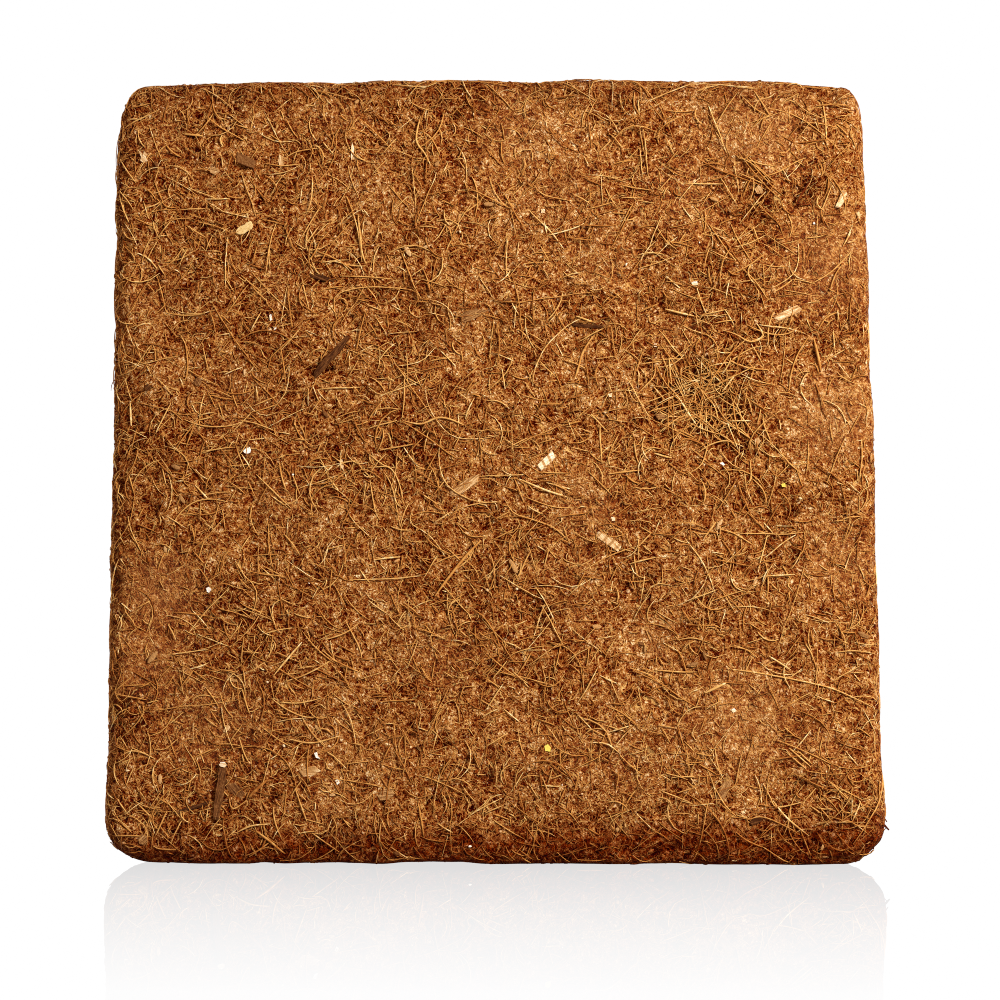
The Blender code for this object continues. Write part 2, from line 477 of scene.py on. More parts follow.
# depth of each point under the skin, in metres
def cutRelief(points, normals, tangle, dusty, holes):
    depth = np.full(len(points), body["settle"])
    steepness, highest, step = body["lumpGain"]
    dustyLumps, dustyPits = body["dustFills"]
    for number, (size, amount) in enumerate(body["lumps"]):
        ridge = noiseAt(points, size, body["seed"] + number * step)
        depth += amount * np.clip(ridge * steepness, 0, highest) * (1 - dustyLumps * dusty)
    reach, power = body["pitReach"]
    pits = []
    for point in points:
        distances, centres = noise.voronoi(Vector(point) / body["pitSize"])
        chosen = noise.cell(centres[0] * body["pitChoice"]) % 1.0 < body["pitShare"]
        pits.append(max(0.0, 1 - distances[0] / reach) if chosen else 0.0)
    plain, tangled = body["pitTangle"]
    pits = np.array(pits) ** power
    depth += body["pitDepth"] * pits * (plain + tangled * tangle) * (1 - dustyPits * dusty)
    size, seed, steepness, power = body["tanglePits"]
    hollows = np.clip(noiseAt(points, size, seed) * steepness, 0, 1)
    depth += body["tanglePitDepth"] * hollows * tangle ** power
    edge, fade, smoothing = body["wall"]
    depth *= 1 - smoothing * fadeIn(edge - np.abs(normals[:, 1]), fade)
    edge, fade, smoothing = body["foot"]
    depth *= 1 - smoothing * fadeIn(-normals[:, 2] - edge, fade)
    return np.minimum(np.maximum(depth, body["deepest"] * np.sqrt(holes)), body["deepest"])


def makeBody():
    skin = smoothSkin()
    data = skin.data
    points = readVectors(data.vertices, "co")
    normals = readVectors(data.vertex_normals, "vector")
    tree = BVHTree.FromPolygons([Vector(p) for p in points], [tuple(f.vertices) for f in data.polygons])
    share = np.where(normals[:, 1] < body["frontFrom"], body["frontNoise"], 1.0)
    tangle = surfacePatches(points, spotField(points, tree, frontTangles, otherTangles), share,
                            body["tanglePatches"])
    dusty = surfacePatches(points, spotField(points, tree, frontDusty), share, body["dustyPatches"])
    least, size, seed = body["raggedBands"]
    ragged = np.clip(least + noiseAt(points, size, seed), 0, 1)
    inward = {"footBand": points[:, 2], "topBand": boxHigh.z - points[:, 2],
              "leftBand": points[:, 0] - boxLow.x}
    for name, distance in inward.items():
        width, fade, strength = body[name]
        tangle = np.maximum(tangle, fadeIn(width - distance, fade) * strength * ragged)
    dusty = dusty * (1 - tangle)
    pale = spotField(points, tree, frontPale) - spotField(points, tree, frontDark)
    holes = spotField(points, tree, frontPits)
    height, fade, strength = body["crumblyFoot"]
    hollow = np.maximum(np.sqrt(holes), strength * fadeIn(height - points[:, 2], fade))
    for name, values in (("tangle", tangle), ("dusty", dusty), ("pale", pale), ("hollow", hollow)):
        setAttribute(data, name, values)

    rough = newObject("coir_body", data.copy())
    rough.data.name = "coir_body"
    depth = cutRelief(points, normals, tangle, dusty, holes)
    moved = points - normals * depth[:, None]
    moved[:, 2] = np.maximum(moved[:, 2], 0.0)
    rough.data.vertices.foreach_set("co", moved.astype(np.float32).ravel())
    setAttribute(rough.data, "depth", depth / body["deepest"])
    rough.data.update()
    rough.data.shade_smooth()
    print("body", len(rough.data.polygons) * 2, "triangles, relief to", round(depth.max() / mm, 2), "mm")
    return skin, rough, tree


# materials

pithColours = (
    (0.00, fromScreen(36, 0, 0)),
    (0.18, fromScreen(79, 9, 0)),
    (0.40, fromScreen(130, 64, 20)),
    (0.60, fromScreen(167, 110, 54)),
    (0.80, fromScreen(205, 156, 98)),
    (1.00, fromScreen(239, 211, 163)),
)
fibreColours = (
    (0.00, fromScreen(91, 31, 3)),
    (0.25, fromScreen(146, 83, 32)),
    (0.60, fromScreen(193, 133, 64)),
    (0.88, fromScreen(217, 170, 98)),
    (1.00, fromScreen(241, 214, 157)),
)
chipColours = (
    (0.00, fromScreen(58, 28, 11)),
    (0.25, fromScreen(112, 68, 34)),
    (0.55, fromScreen(190, 142, 86)),
    (0.80, fromScreen(236, 206, 158)),
    (1.00, fromScreen(253, 249, 240)),
)


def newMaterial(name, roughness, specular):
    material = bpy.data.materials.new(name)
    material.use_nodes = True
    shader = material.node_tree.nodes["Principled BSDF"]
    shader.inputs["Roughness"].default_value = roughness
    shader.inputs["Specular IOR Level"].default_value = specular
    return material, material.node_tree, shader


def placeInMm(tree):
    return scaled(tree, addNode(tree, "ShaderNodeTexCoord").outputs["Object"], 1 / mm)


# a number kept on the mesh
def readMark(tree, name):
    return addNode(tree, "ShaderNodeAttribute", attribute_name=name).outputs["Fac"]


def finishMaterial(tree, shader, colour, height=None, bump=(0.0, 0.0)):
    tree.links.new(colour, shader.inputs["Base Color"])
    if height is not None:
        strength, distance = bump
        rough = made(tree, "ShaderNodeBump", {"Strength": strength, "Distance": distance, "Height": height})
        tree.links.new(rough, shader.inputs["Normal"])


# painted shade for the foot band and the top rim: where the colour is darkened, and by how much
rimPaintedShade = {
    "low": 8.5,              # mm above the floor, full strength below this
    "high": 19.0,            # none above this
    "rightRise": 0.030,      # the band reaches higher on the right
    "ragged": ((0.16, 1.0), (0.3, 0.7, -3.0, 3.0)),     # its edge's noise, and how far that moves it in mm
    "pith": (0.40, 0.12, 0.02, 1.0),
    "fibre": (0.56, 0.37, 0.22, 1.0),
    "gaps": ((0.55, 2.0), (0.40, 0.60, 0.62, 1.0)),     # darkest places' noise, and the share of the shade
    "topDepth": (6.0, 18.0),                 # mm under the top: full strength, none
    "top": (0.80, 0.74, 0.70, 1.0),
}


# painted shade: the foot band and the rim at the top are darkened, standing in for the shade on the rounded
# lower and upper edges; place is in mm
def paintRimShade(tree, place, colour, shade):
    parts = separated(tree, place)
    edge, moves = rimPaintedShade["ragged"]
    height = maths(tree, "SUBTRACT", parts[2], times(tree, parts[0], rimPaintedShade["rightRise"]))
    height = plus(tree, height, ramp(tree, noiseNode(tree, place, edge)["Fac"], moves))
    share = remap(tree, height, rimPaintedShade["low"], rimPaintedShade["high"], 1.0, 0.0)
    gaps, limits = rimPaintedShade["gaps"]
    share = times(tree, share, remap(tree, noiseNode(tree, place, gaps)["Fac"], *limits))
    colour = mixColour(tree, share, colour, shade, "MULTIPLY")
    under = maths(tree, "SUBTRACT", boxHigh.z / mm, parts[2])
    return mixColour(tree, remap(tree, under, *rimPaintedShade["topDepth"], 1.0, 0.0), colour, rimPaintedShade["top"],
                     "MULTIPLY")


pith = {
    "roughness": 0.95,
    "specular": 0.10,
    # cell size, half width, shift
    "fibrils": ((8.5, 0.24, 3.1), (7.2, 0.22, 61.7), (5.0, 0.24, 45.9), (3.4, 0.22, 27.4),
                (2.4, 0.18, 88.2)),
    "fibrilEnds": (0.34, 0.52, 1.0, 0.0),     # share of a cell where a fibril fades
    "fibrilShown": (0, 1, 0.35, 1.0),         # by its tint
    "fibrilShade": (0.9, 3.2, 1.0, 0.0),      # reach of its shadow, in half widths
    "fibrilTint": (0, 1, 0.05, 0.90),
    "threads": ((0.62, 10.0, 4.0), (0.85, 8.0, 31.0)),      # scale per mm, sharpness, shift
    # noises: scale per mm, detail, roughness, distortion
    "sway": (0.26, 1.0),
    "fine": (0.62, 2.4, 0.66, 1.8),
    "crumbs": (0.36, 2.0, 0.6),
    "patches": (0.028, 2.0),
    "swayMm": 3.4,
    "grainScale": 1.0,
    # grainDome and the dome tone darken each grain towards its rim: painted shade between the grains
    "grainDome": (0.10, 0.80, 1.0, 0.0),
    # what each pattern adds to the tone: (from, to, tone at from, tone at to)
    "tones": {"fine": (0.30, 0.70, -0.36, 0.30), "wool": (0, 1, -0.17, 0.17),
              "grainTint": (0, 1, -0.10, 0.10), "dome": (0, 1, -0.13, 0.04),
              "crumbs": (0.32, 0.68, -0.27, 0.18)},
    "shadow": (0, 1, 0.16, 0.30),             # strength of the fibrils' shadows, by tangle
    "patchTone": (0.35, 0.65, -0.07, 0.08),
    # painted shade: the tangle and depth tones darken the pith where loose fibres lie thick and in its
    # hollows; pale also carries frontDark's darker places, partly painted shade
    "markTones": {"dusty": 0.06, "pale": 0.11, "tangle": -0.12, "depth": -0.36},
    "middleTone": 0.61,
    "dustCalms": 0.30,       # share of the contrast that dust takes away
    "dust": (fromScreen(174, 118, 74), 0.18),
    "specks": (fromScreen(250, 212, 158), (0.982, 0.992, 0.0, 0.75)),     # grains with a high tint
    "shown": ((0.08, 0.50, 0.0, 0.85), (0.35, 0.60, 0.50, 1.0)),     # fibrils by height and crumbs
    "relief": {"fine": 1.1, "dome": 0.25, "wool": 0.45},
    "bump": (1.0, 0.5 * mm),
}


# short fibrils pressed into the pith, one in each cell of a Voronoi pattern, drawn in its surface
def fibrilGroup():
    tree, given, result = newTree(
        "pressed fibrils", "ShaderNodeTree",
        {"Point": "Vector", "Normal": "Vector", "Cell Size": 4.0, "Half Width": 0.2, "Shift": 0.0},
        {"Fibril": "Float", "Shade": "Float", "Tint": "Float"})
    moved = vectorMaths(tree, "ADD", given["Point"], combined(tree, *[given["Shift"]] * 3))
    shrunk = scaled(tree, moved, maths(tree, "DIVIDE", 1.0, given["Cell Size"]))
    cells = addNode(tree, "ShaderNodeTexVoronoi", {"Vector": shrunk, "Scale": 1.0},
                    voronoi_dimensions="3D", feature="F1").outputs
    fromCentre = vectorMaths(tree, "SUBTRACT", shrunk, cells["Position"])
    direction = vectorMaths(tree, "SUBTRACT", cells["Color"], (0.5, 0.5, 0.5))
    sideways = vectorMaths(tree, "NORMALIZE", vectorMaths(tree, "CROSS_PRODUCT", direction, given["Normal"]))
    lengthways = vectorMaths(tree, "CROSS_PRODUCT", sideways, given["Normal"])
    along, away = (maths(tree, "ABSOLUTE", vectorMaths(tree, "DOT_PRODUCT", fromCentre, axis))
                   for axis in (lengthways, sideways))
    share = maths(tree, "DIVIDE", times(tree, away, given["Cell Size"]), given["Half Width"])
    tint = whiteNoise(tree, cells["Position"])
    shown = times(tree, remap(tree, along, *pith["fibrilEnds"]), ramp(tree, tint, pith["fibrilShown"]))
    line = clamped(oneMinus(tree, share, share))
    tree.links.new(times(tree, line, shown), result["Fibril"])
    tree.links.new(times(tree, remap(tree, share, *pith["fibrilShade"]), shown), result["Shade"])
    tree.links.new(tint, result["Tint"])
    return tree


# all sizes of fibrils, the highest on top
def pressedFibrils(tree, place, normal):
    group = fibrilGroup()
    top = None
    for cell, halfWidth, shift in pith["fibrils"]:
        layer = addNode(tree, "ShaderNodeGroup", {}, node_tree=group)
        for key, value in (("Point", place), ("Normal", normal), ("Cell Size", cell),
                           ("Half Width", halfWidth), ("Shift", shift)):
            connect(tree, layer.inputs[key], value)
        if top is None:
            top = dict(layer.outputs.items())
            continue
        above = maths(tree, "GREATER_THAN", layer.outputs["Fibril"], top["Fibril"])
        top["Tint"] = made(tree, "ShaderNodeMix", {0: above, 2: top["Tint"], 3: layer.outputs["Tint"]})
        for key in ("Fibril", "Shade"):
            top[key] = maths(tree, "MAXIMUM", layer.outputs[key], top[key])
    return top["Fibril"], top["Shade"], top["Tint"]


# thin winding threads, where a noise crosses its middle value
def threads(tree, place, scale, sharpness, shift):
    moved = vectorMaths(tree, "ADD", place, (shift, -shift, 0.5 * shift))
    winding = noiseNode(tree, moved, (scale, 0.6))["Fac"]
    away = maths(tree, "ABSOLUTE", maths(tree, "SUBTRACT", winding, 0.5))
    return clamped(oneMinus(tree, away, sharpness))


def pithMaterial():
    material, tree, shader = newMaterial("coir pith", pith["roughness"], pith["specular"])
    place = placeInMm(tree)
    normal = addNode(tree, "ShaderNodeNewGeometry").outputs["Normal"]
    marks = {name: readMark(tree, name) for name in pith["markTones"]}
    sway = noiseNode(tree, place, pith["sway"])["Color"]
    bent = vectorMaths(tree, "ADD", place, scaled(tree, sway, pith["swayMm"]))
    height, shade, tint = pressedFibrils(tree, bent, normal)

    grains = addNode(tree, "ShaderNodeTexVoronoi", {"Vector": bent, "Scale": pith["grainScale"]}).outputs
    patterns = {
        "fine": noiseNode(tree, place, pith["fine"])["Fac"],
        "crumbs": noiseNode(tree, bent, pith["crumbs"])["Fac"],
        "wool": chain(tree, "MAXIMUM", [threads(tree, place, *thread) for thread in pith["threads"]]),
        "grainTint": whiteNoise(tree, grains["Position"]),
        "dome": remap(tree, grains["Distance"], *pith["grainDome"]),
    }
    calm = oneMinus(tree, marks["dusty"], pith["dustCalms"])
    tone = plus(tree, *(ramp(tree, patterns[key], limits) for key, limits in pith["tones"].items()))
    shadow = times(tree, shade, ramp(tree, marks["tangle"], pith["shadow"]))
    tone = times(tree, maths(tree, "SUBTRACT", tone, shadow), calm)
    patches = ramp(tree, noiseNode(tree, place, pith["patches"])["Fac"], pith["patchTone"])
    tone = plus(tree, tone, patches,
                *(times(tree, marks[key], gain) for key, gain in pith["markTones"].items()))
    ground = colourRamp(tree, clamped(plus(tree, tone, pith["middleTone"])), pithColours)
    speckColour, limits = pith["specks"]
    specks = times(tree, ramp(tree, patterns["grainTint"], limits), patterns["dome"])
    ground = mixColour(tree, specks, ground, speckColour)
    dustColour, share = pith["dust"]
    ground = mixColour(tree, times(tree, marks["dusty"], share), ground, dustColour)

    fibril = colourRamp(tree, ramp(tree, tint, pith["fibrilTint"]), fibreColours)
    byHeight, byCrumbs = pith["shown"]
    shown = times(tree, remap(tree, height, *byHeight), remap(tree, patterns["crumbs"], *byCrumbs), calm)
    colour = paintRimShade(tree, place, mixColour(tree, shown, ground, fibril), rimPaintedShade["pith"])
    relief = plus(tree, *(times(tree, patterns[key], gain) for key, gain in pith["relief"].items()))
    finishMaterial(tree, shader, colour, relief, pith["bump"])
    return material


fibreLook = {
    "roughness": 0.62,
    "specular": 0.30,
    "mottle": (0.5, 2.0),
    "mottleTint": (0.3, 0.7, -0.16, 0.16),
}


def fibreMaterial():
    material, tree, shader = newMaterial("coir fibre", fibreLook["roughness"], fibreLook["specular"])
    place = placeInMm(tree)
    mottled = ramp(tree, noiseNode(tree, place, fibreLook["mottle"])["Fac"], fibreLook["mottleTint"])
    tint = clamped(plus(tree, readMark(tree, "tint"), mottled))
    colour = paintRimShade(tree, place, colourRamp(tree, tint, fibreColours), rimPaintedShade["fibre"])
    finishMaterial(tree, shader, colour)
    return material


chipLook = {
    "roughness": 0.75,
    "specular": 0.20,
    "streakScales": (0.22, 2.4, 37.0),       # along, across, by tint
    "streaks": (1.0, 2.0),
    "streakTint": (0.3, 0.7, -0.24, 0.16),
    "grain": (1.4, 3.0, 0.7),
    "grainTint": (0.3, 0.7, -0.10, 0.08),
    "bandsPerMm": 0.36,
    "band": (0.12, 0.22, 0.42, 0.0),
    "yellow": fromScreen(226, 206, 92),
    "bump": (0.9, 0.25 * mm),
}
chipMarks = ("tint", "along", "across", "streaks", "bands", "yellow")


def chipMaterial():
    material, tree, shader = newMaterial("husk chip", chipLook["roughness"], chipLook["specular"])
    marks = {name: readMark(tree, name) for name in chipMarks}
    scales = zip(("along", "across", "tint"), chipLook["streakScales"])
    stretched = combined(tree, *(times(tree, marks[name], scale) for name, scale in scales))
    streaks = noiseNode(tree, stretched, chipLook["streaks"])["Fac"]
    grain = noiseNode(tree, placeInMm(tree), chipLook["grain"])["Fac"]
    tint = plus(tree, marks["tint"], ramp(tree, grain, chipLook["grainTint"]),
                times(tree, ramp(tree, streaks, chipLook["streakTint"]), marks["streaks"]))
    phase = maths(tree, "FRACT", times(tree, marks["along"], chipLook["bandsPerMm"]))
    band = remap(tree, maths(tree, "ABSOLUTE", maths(tree, "SUBTRACT", phase, 0.5)), *chipLook["band"])
    tint = clamped(maths(tree, "SUBTRACT", tint, times(tree, band, marks["bands"])))
    colour = mixColour(tree, marks["yellow"], colourRamp(tree, tint, chipColours), chipLook["yellow"])
    finishMaterial(tree, shader, colour, plus(tree, grain, streaks), chipLook["bump"])
    return material


crumbLook = {
    "roughness": 0.95,
    "specular": 0.12,
    "fine": (1.4, 2.0, 0.7),
    "tone": (0, 1, 0.34, 0.72),              # by the crumb's tint
    "fineTone": (0.3, 0.7, -0.22, 0.2),
    "bump": (0.9, 0.35 * mm),
}


def crumbMaterial():
    material, tree, shader = newMaterial("pith crumb", crumbLook["roughness"], crumbLook["specular"])
    place = placeInMm(tree)
    fine = noiseNode(tree, place, crumbLook["fine"])["Fac"]
    tone = clamped(plus(tree, ramp(tree, readMark(tree, "tint"), crumbLook["tone"]),
                        ramp(tree, fine, crumbLook["fineTone"])))
    colour = paintRimShade(tree, place, colourRamp(tree, tone, pithColours), rimPaintedShade["pith"])
    finishMaterial(tree, shader, colour, fine, crumbLook["bump"])
    return material


skin, roughBody, skinTree = makeBody()
materials = {"pith": pithMaterial(), "fibre": fibreMaterial(), "chip": chipMaterial(),
             "crumb": crumbMaterial()}
roughBody.data.materials.clear()
roughBody.data.materials.append(materials["pith"])
print("materials done")


# Geometry Nodes: fibres that follow the skin

# what is added to a layer's seed for each random draw
seedSteps = {"turn": 0.0, "size": 3.0, "stretch": 5.0, "length": 7.0, "side": 13.0, "tint": 19.0,
             "width": 23.0, "waver": 31.0, "depth": 47.0, "bow": 53.0, "dip": 59.0}
laying = {
    "waverSpread": 40.0,             # how far apart in the noise the curves take their wavers
    "dipPower": 5.0,                 # how near its ends a fibre dips
    "wall": (0.6, 0.9, 1.0, 0.0),    # by the normal's y, fibres lie flatter on the narrow walls
    "wallBow": 0.7,
    "wallDepth": 0.25 * mm,
    "taper": (3.0, 0.55),            # (power, share of the width lost at the ends)
}
scattering = {
    "front": (-0.7, -0.3, 1.0, 0.0),     # by the normal's y
    "fibresLost": {"hollow": 0.85, "dusty": 0.55},
    "crumbsInHollows": (0.5, 1.0, 1.0, 0.2),
    "widths": (0.32, 0.62),          # radius against the thickness
    "dents": (1.1, 0.0),
}


# number: what the draw is for, or else each element gets its own
def randomValue(tree, given, use, low, high, number=None):
    values = {2: low, 3: high, "Seed": plus(tree, given["Seed"], seedSteps[use])}
    if number is not None:
        values["ID"] = number
    return addNode(tree, "FunctionNodeRandomValue", values, data_type="FLOAT").outputs[1]


# between two sizes, most of them small
def mostlySmall(tree, given, use, low, high):
    value = randomValue(tree, given, use, 0.0, 1.0)
    return remap(tree, times(tree, value, value), 0.0, 1.0, low, high, "LINEAR")


def namedValue(tree, name):
    return made(tree, "GeometryNodeInputNamedAttribute", {"Name": name}, data_type="FLOAT")


def position(tree):
    return made(tree, "GeometryNodeInputPosition")


def surfaceNormal(tree):
    return made(tree, "GeometryNodeInputNormal")


def setPosition(tree, geometry, **how):
    return made(tree, "GeometryNodeSetPosition", {"Geometry": geometry, **how})


# waver the curves, lay them on the skin, bow their middles up and dip their ends in
def layOnSkin(tree, curves, skinMesh, given):
    number = addNode(tree, "GeometryNodeCurveOfPoint").outputs["Curve Index"]
    along = addNode(tree, "GeometryNodeSplineParameter").outputs["Factor"]
    each = randomValue(tree, given, "waver", 0.0, laying["waverSpread"], number)
    where = vectorMaths(tree, "ADD", vectorMaths(tree, "DIVIDE", position(tree), given["Waver Size"]),
                        combined(tree, each, each, each))
    wander = vectorMaths(tree, "SUBTRACT", noiseNode(tree, where, (1.0, 1.0))["Color"], (0.5, 0.5, 0.5))
    curves = setPosition(tree, curves, Offset=scaled(tree, wander, given["Waver"]))

    nearest = made(tree, "GeometryNodeProximity", {0: skinMesh}, target_element="FACES")
    facing = made(tree, "GeometryNodeSampleNearestSurface",
                  {"Mesh": skinMesh, "Value": surfaceNormal(tree)}, data_type="FLOAT_VECTOR")
    facing = vectorMaths(tree, "NORMALIZE", facing)
    wall = ramp(tree, maths(tree, "ABSOLUTE", separated(tree, facing)[1]), laying["wall"])
    base = randomValue(tree, given, "depth", given["Depth Low"], given["Depth High"], number)
    base = maths(tree, "SUBTRACT", base, times(tree, wall, laying["wallDepth"]))
    arch = times(tree, maths(tree, "SINE", times(tree, along, math.pi)),
                 randomValue(tree, given, "bow", 0.0, given["Bow"], number),
                 oneMinus(tree, wall, laying["wallBow"]))
    toEnd = maths(tree, "ABSOLUTE", maths(tree, "SUBTRACT", times(tree, along, 2.0), 1.0))
    dip = times(tree, maths(tree, "POWER", toEnd, laying["dipPower"]),
                randomValue(tree, given, "dip", 0.0, given["End Dip"], number))
    lift = maths(tree, "SUBTRACT", plus(tree, base, arch), dip)
    laid = separated(tree, vectorMaths(tree, "ADD", nearest, scaled(tree, facing, lift)))
    aboveFloor = maths(tree, "MAXIMUM", laid[2], given["Thickness"])
    curves = setPosition(tree, curves, Position=combined(tree, laid[0], laid[1], aboveFloor))
    power, share = laying["taper"]
    return curves, number, oneMinus(tree, maths(tree, "POWER", toEnd, power), share)


def finishMesh(tree, mesh, given, result):
    mesh = made(tree, "GeometryNodeSetShadeSmooth", {"Geometry": mesh, "Shade Smooth": True})
    mesh = made(tree, "GeometryNodeRealizeInstances", {"Geometry": mesh})
    mesh = made(tree, "GeometryNodeSetMaterial", {"Geometry": mesh, "Material": given["Material"]})
    tree.links.new(mesh, result["Geometry"])
    return tree


def tubes(tree, curves, radius, given, result):
    ring = made(tree, "GeometryNodeCurvePrimitiveCircle", {"Resolution": given["Sides"], "Radius": 1.0})
    mesh = made(tree, "GeometryNodeCurveToMesh", {"Curve": curves, "Profile Curve": ring, "Scale": radius,
                                                  "Fill Caps": True})
    return finishMesh(tree, mesh, given, result)


laySockets = {
    "Waver": 2 * mm, "Waver Size": (0.01, 0.01, 0.01), "Depth Low": -0.5 * mm, "Depth High": 0.3 * mm,
    "Bow": 0.3 * mm, "End Dip": 0.8 * mm, "Thickness": 0.2 * mm, "Sides": 3, "Seed": 1,
    "Material": "Material",
}


def frontShare(tree, given):
    front = ramp(tree, separated(tree, surfaceNormal(tree))[1], scattering["front"])
    return plus(tree, 1.0, times(tree, front, given["Front Gain"]))


# points on the mesh, as dense as the product of the shares, each turned at random in its surface
def scatter(tree, given, *shares):
    points = addNode(tree, "GeometryNodeDistributePointsOnFaces",
                     {"Mesh": given["Geometry"], "Density": times(tree, *shares, given["Density"]),
                      "Seed": given["Seed"]}, distribute_method="RANDOM").outputs
    turn = combined(tree, z=randomValue(tree, given, "turn", 0.0, 2 * math.pi))
    turned = made(tree, "FunctionNodeRotateRotation", {"Rotation": points["Rotation"], "Rotate By": turn},
                  rotation_space="LOCAL")
    return {"Points": points["Points"], "Rotation": turned}


def storeTint(tree, geometry, given, domain):
    tint = randomValue(tree, given, "tint", given["Tint Low"], given["Tint High"])
    return made(tree, "GeometryNodeStoreNamedAttribute",
                {"Geometry": geometry, "Name": "tint", "Value": tint}, data_type="FLOAT", domain=domain)


def scatteredFibreTree():
    tree, given, result = newTree("scattered fibres", "GeometryNodeTree", {
        "Geometry": "Geometry", "Density": 1000.0, "Tangle Gain": 1.0, "Tangle Power": 1.0, "Front Gain": 1.0,
        "Length Low": 5 * mm, "Length High": 12 * mm, "Bend": 0.2, "Points": 5, "Tint Low": 0.2,
        "Tint High": 0.9, **laySockets}, {"Geometry": "Geometry"})
    tangle = maths(tree, "POWER", namedValue(tree, "tangle"), given["Tangle Power"])
    kept = [oneMinus(tree, namedValue(tree, name), lost) for name, lost in scattering["fibresLost"].items()]
    points = scatter(tree, given, plus(tree, 1.0, times(tree, tangle, given["Tangle Gain"])), *kept,
                     frontShare(tree, given))
    length = mostlySmall(tree, given, "length", given["Length Low"], given["Length High"])
    side = randomValue(tree, given, "side", -1.0, 1.0)
    side = times(tree, side, times(tree, side, side))    # most are nearly straight
    bow = times(tree, length, times(tree, side, given["Bend"]))

    line = made(tree, "GeometryNodeCurvePrimitiveLine", {"Start": (-0.5, 0, 0), "End": (0.5, 0, 0)})
    line = made(tree, "GeometryNodeResampleCurve", {"Curve": line, "Count": given["Points"]})
    lineX = separated(tree, position(tree))[0]
    line = setPosition(tree, line, Offset=combined(tree, y=times(tree, lineX, lineX, 4.0)))
    curves = made(tree, "GeometryNodeInstanceOnPoints",
                  {**points, "Instance": line, "Scale": combined(tree, length, bow, 1.0)})
    curves = made(tree, "GeometryNodeRealizeInstances", {"Geometry": curves})
    curves = storeTint(tree, curves, given, "CURVE")
    curves, number, taper = layOnSkin(tree, curves, given["Geometry"], given)
    width = randomValue(tree, given, "width", *scattering["widths"], number)
    return tubes(tree, curves, times(tree, given["Thickness"], times(tree, taper, width)), given, result)


# the mesh's edges as smooth curves with evenly spaced points
def courses(tree, given):
    curves = made(tree, "GeometryNodeMeshToCurve", {"Mesh": given["Geometry"]})
    curves = made(tree, "GeometryNodeCurveSplineType", {"Curve": curves}, spline_type="CATMULL_ROM")
    return made(tree, "GeometryNodeResampleCurve", {"Curve": curves, "Length": given["Point Spacing"]},
                mode="LENGTH")


# the carrier's edges are the fibres' courses, with attributes "width" and "tint"
def placedFibreTree():
    tree, given, result = newTree("placed fibres", "GeometryNodeTree", {
        "Geometry": "Geometry", "Skin": "Object", "Width Share": 0.5, "Point Spacing": 2 * mm, **laySockets},
        {"Geometry": "Geometry"})
    skinMesh = addNode(tree, "GeometryNodeObjectInfo", {"Object": given["Skin"]}).outputs["Geometry"]
    curves, _, taper = layOnSkin(tree, courses(tree, given), skinMesh, given)
    radius = times(tree, namedValue(tree, "width"), given["Width Share"], taper)
    return tubes(tree, curves, radius, given, result)


# the same for hairs that stand free, from width to tip
def freeFibreTree():
    tree, given, result = newTree("free fibres", "GeometryNodeTree", {
        "Geometry": "Geometry", "Root Share": 0.5, "Tip Loss": 0.3, "Point Spacing": 1 * mm, "Sides": 4,
        "Material": "Material"}, {"Geometry": "Geometry"})
    along = addNode(tree, "GeometryNodeSplineParameter").outputs["Factor"]
    share = maths(tree, "SUBTRACT", given["Root Share"], times(tree, along, given["Tip Loss"]))
    return tubes(tree, courses(tree, given), times(tree, namedValue(tree, "width"), share), given, result)


def crumbTree():
    tree, given, result = newTree("crumbs and flakes", "GeometryNodeTree", {
        "Geometry": "Geometry", "Density": 1000.0, "Front Gain": 0.0, "Dusty Cut": 0.0, "Size Low": 0.6 * mm,
        "Size High": 1.6 * mm, "Stretch Low": 0.8, "Stretch High": 1.7, "Flatness": 0.5, "Roughness": 0.4,
        "Tint Low": 0.0, "Tint High": 1.0, "Subdivisions": 1, "Seed": 1, "Material": "Material"},
        {"Geometry": "Geometry"})
    points = scatter(tree, given, frontShare(tree, given),
                     oneMinus(tree, namedValue(tree, "dusty"), given["Dusty Cut"]),
                     ramp(tree, namedValue(tree, "hollow"), scattering["crumbsInHollows"]))
    ball = made(tree, "GeometryNodeMeshIcoSphere", {"Radius": 0.5, "Subdivisions": given["Subdivisions"]})
    big = mostlySmall(tree, given, "size", given["Size Low"], given["Size High"])
    stretch = randomValue(tree, given, "stretch", given["Stretch Low"], given["Stretch High"])
    size = combined(tree, times(tree, big, stretch), big, times(tree, big, given["Flatness"]))
    crumbs = made(tree, "GeometryNodeInstanceOnPoints", {**points, "Instance": ball, "Scale": size})
    crumbs = storeTint(tree, crumbs, given, "INSTANCE")
    mesh = made(tree, "GeometryNodeRealizeInstances", {"Geometry": crumbs})
    dents = noiseNode(tree, scaled(tree, position(tree), 1 / mm), scattering["dents"])["Color"]
    dents = vectorMaths(tree, "SUBTRACT", dents, (0.5, 0.5, 0.5))
    dents = scaled(tree, dents, times(tree, given["Roughness"], given["Size High"]))
    mesh = setPosition(tree, mesh, Offset=dents)
    parts = separated(tree, position(tree))
    aboveFloor = maths(tree, "MAXIMUM", parts[2], 0.0)
    mesh = setPosition(tree, mesh, Position=combined(tree, parts[0], parts[1], aboveFloor))
    return finishMesh(tree, mesh, given, result)


# run a node tree on a copy of the carrier, and keep its result as a plain mesh
def growPiece(name, tree, carrier, settings):
    holder = newObject(name + "_holder", carrier.data.copy())
    modifier = holder.modifiers.new(name, "NODES")
    modifier.node_group = tree
    sockets = {item.name: item.identifier for item in tree.interface.items_tree
               if item.item_type == "SOCKET" and item.in_out == "INPUT"}
    for key, value in settings.items():
        modifier[sockets[key]] = value
    mesh = evaluatedMesh(holder)
    mesh.name = name
    holder.modifiers.clear()
    bpy.data.objects.remove(holder)
    mesh.calc_loop_triangles()
    print(name, len(mesh.loop_triangles), "triangles")
    return newObject(name, mesh)


def waver(size):
    return (size, size, size)


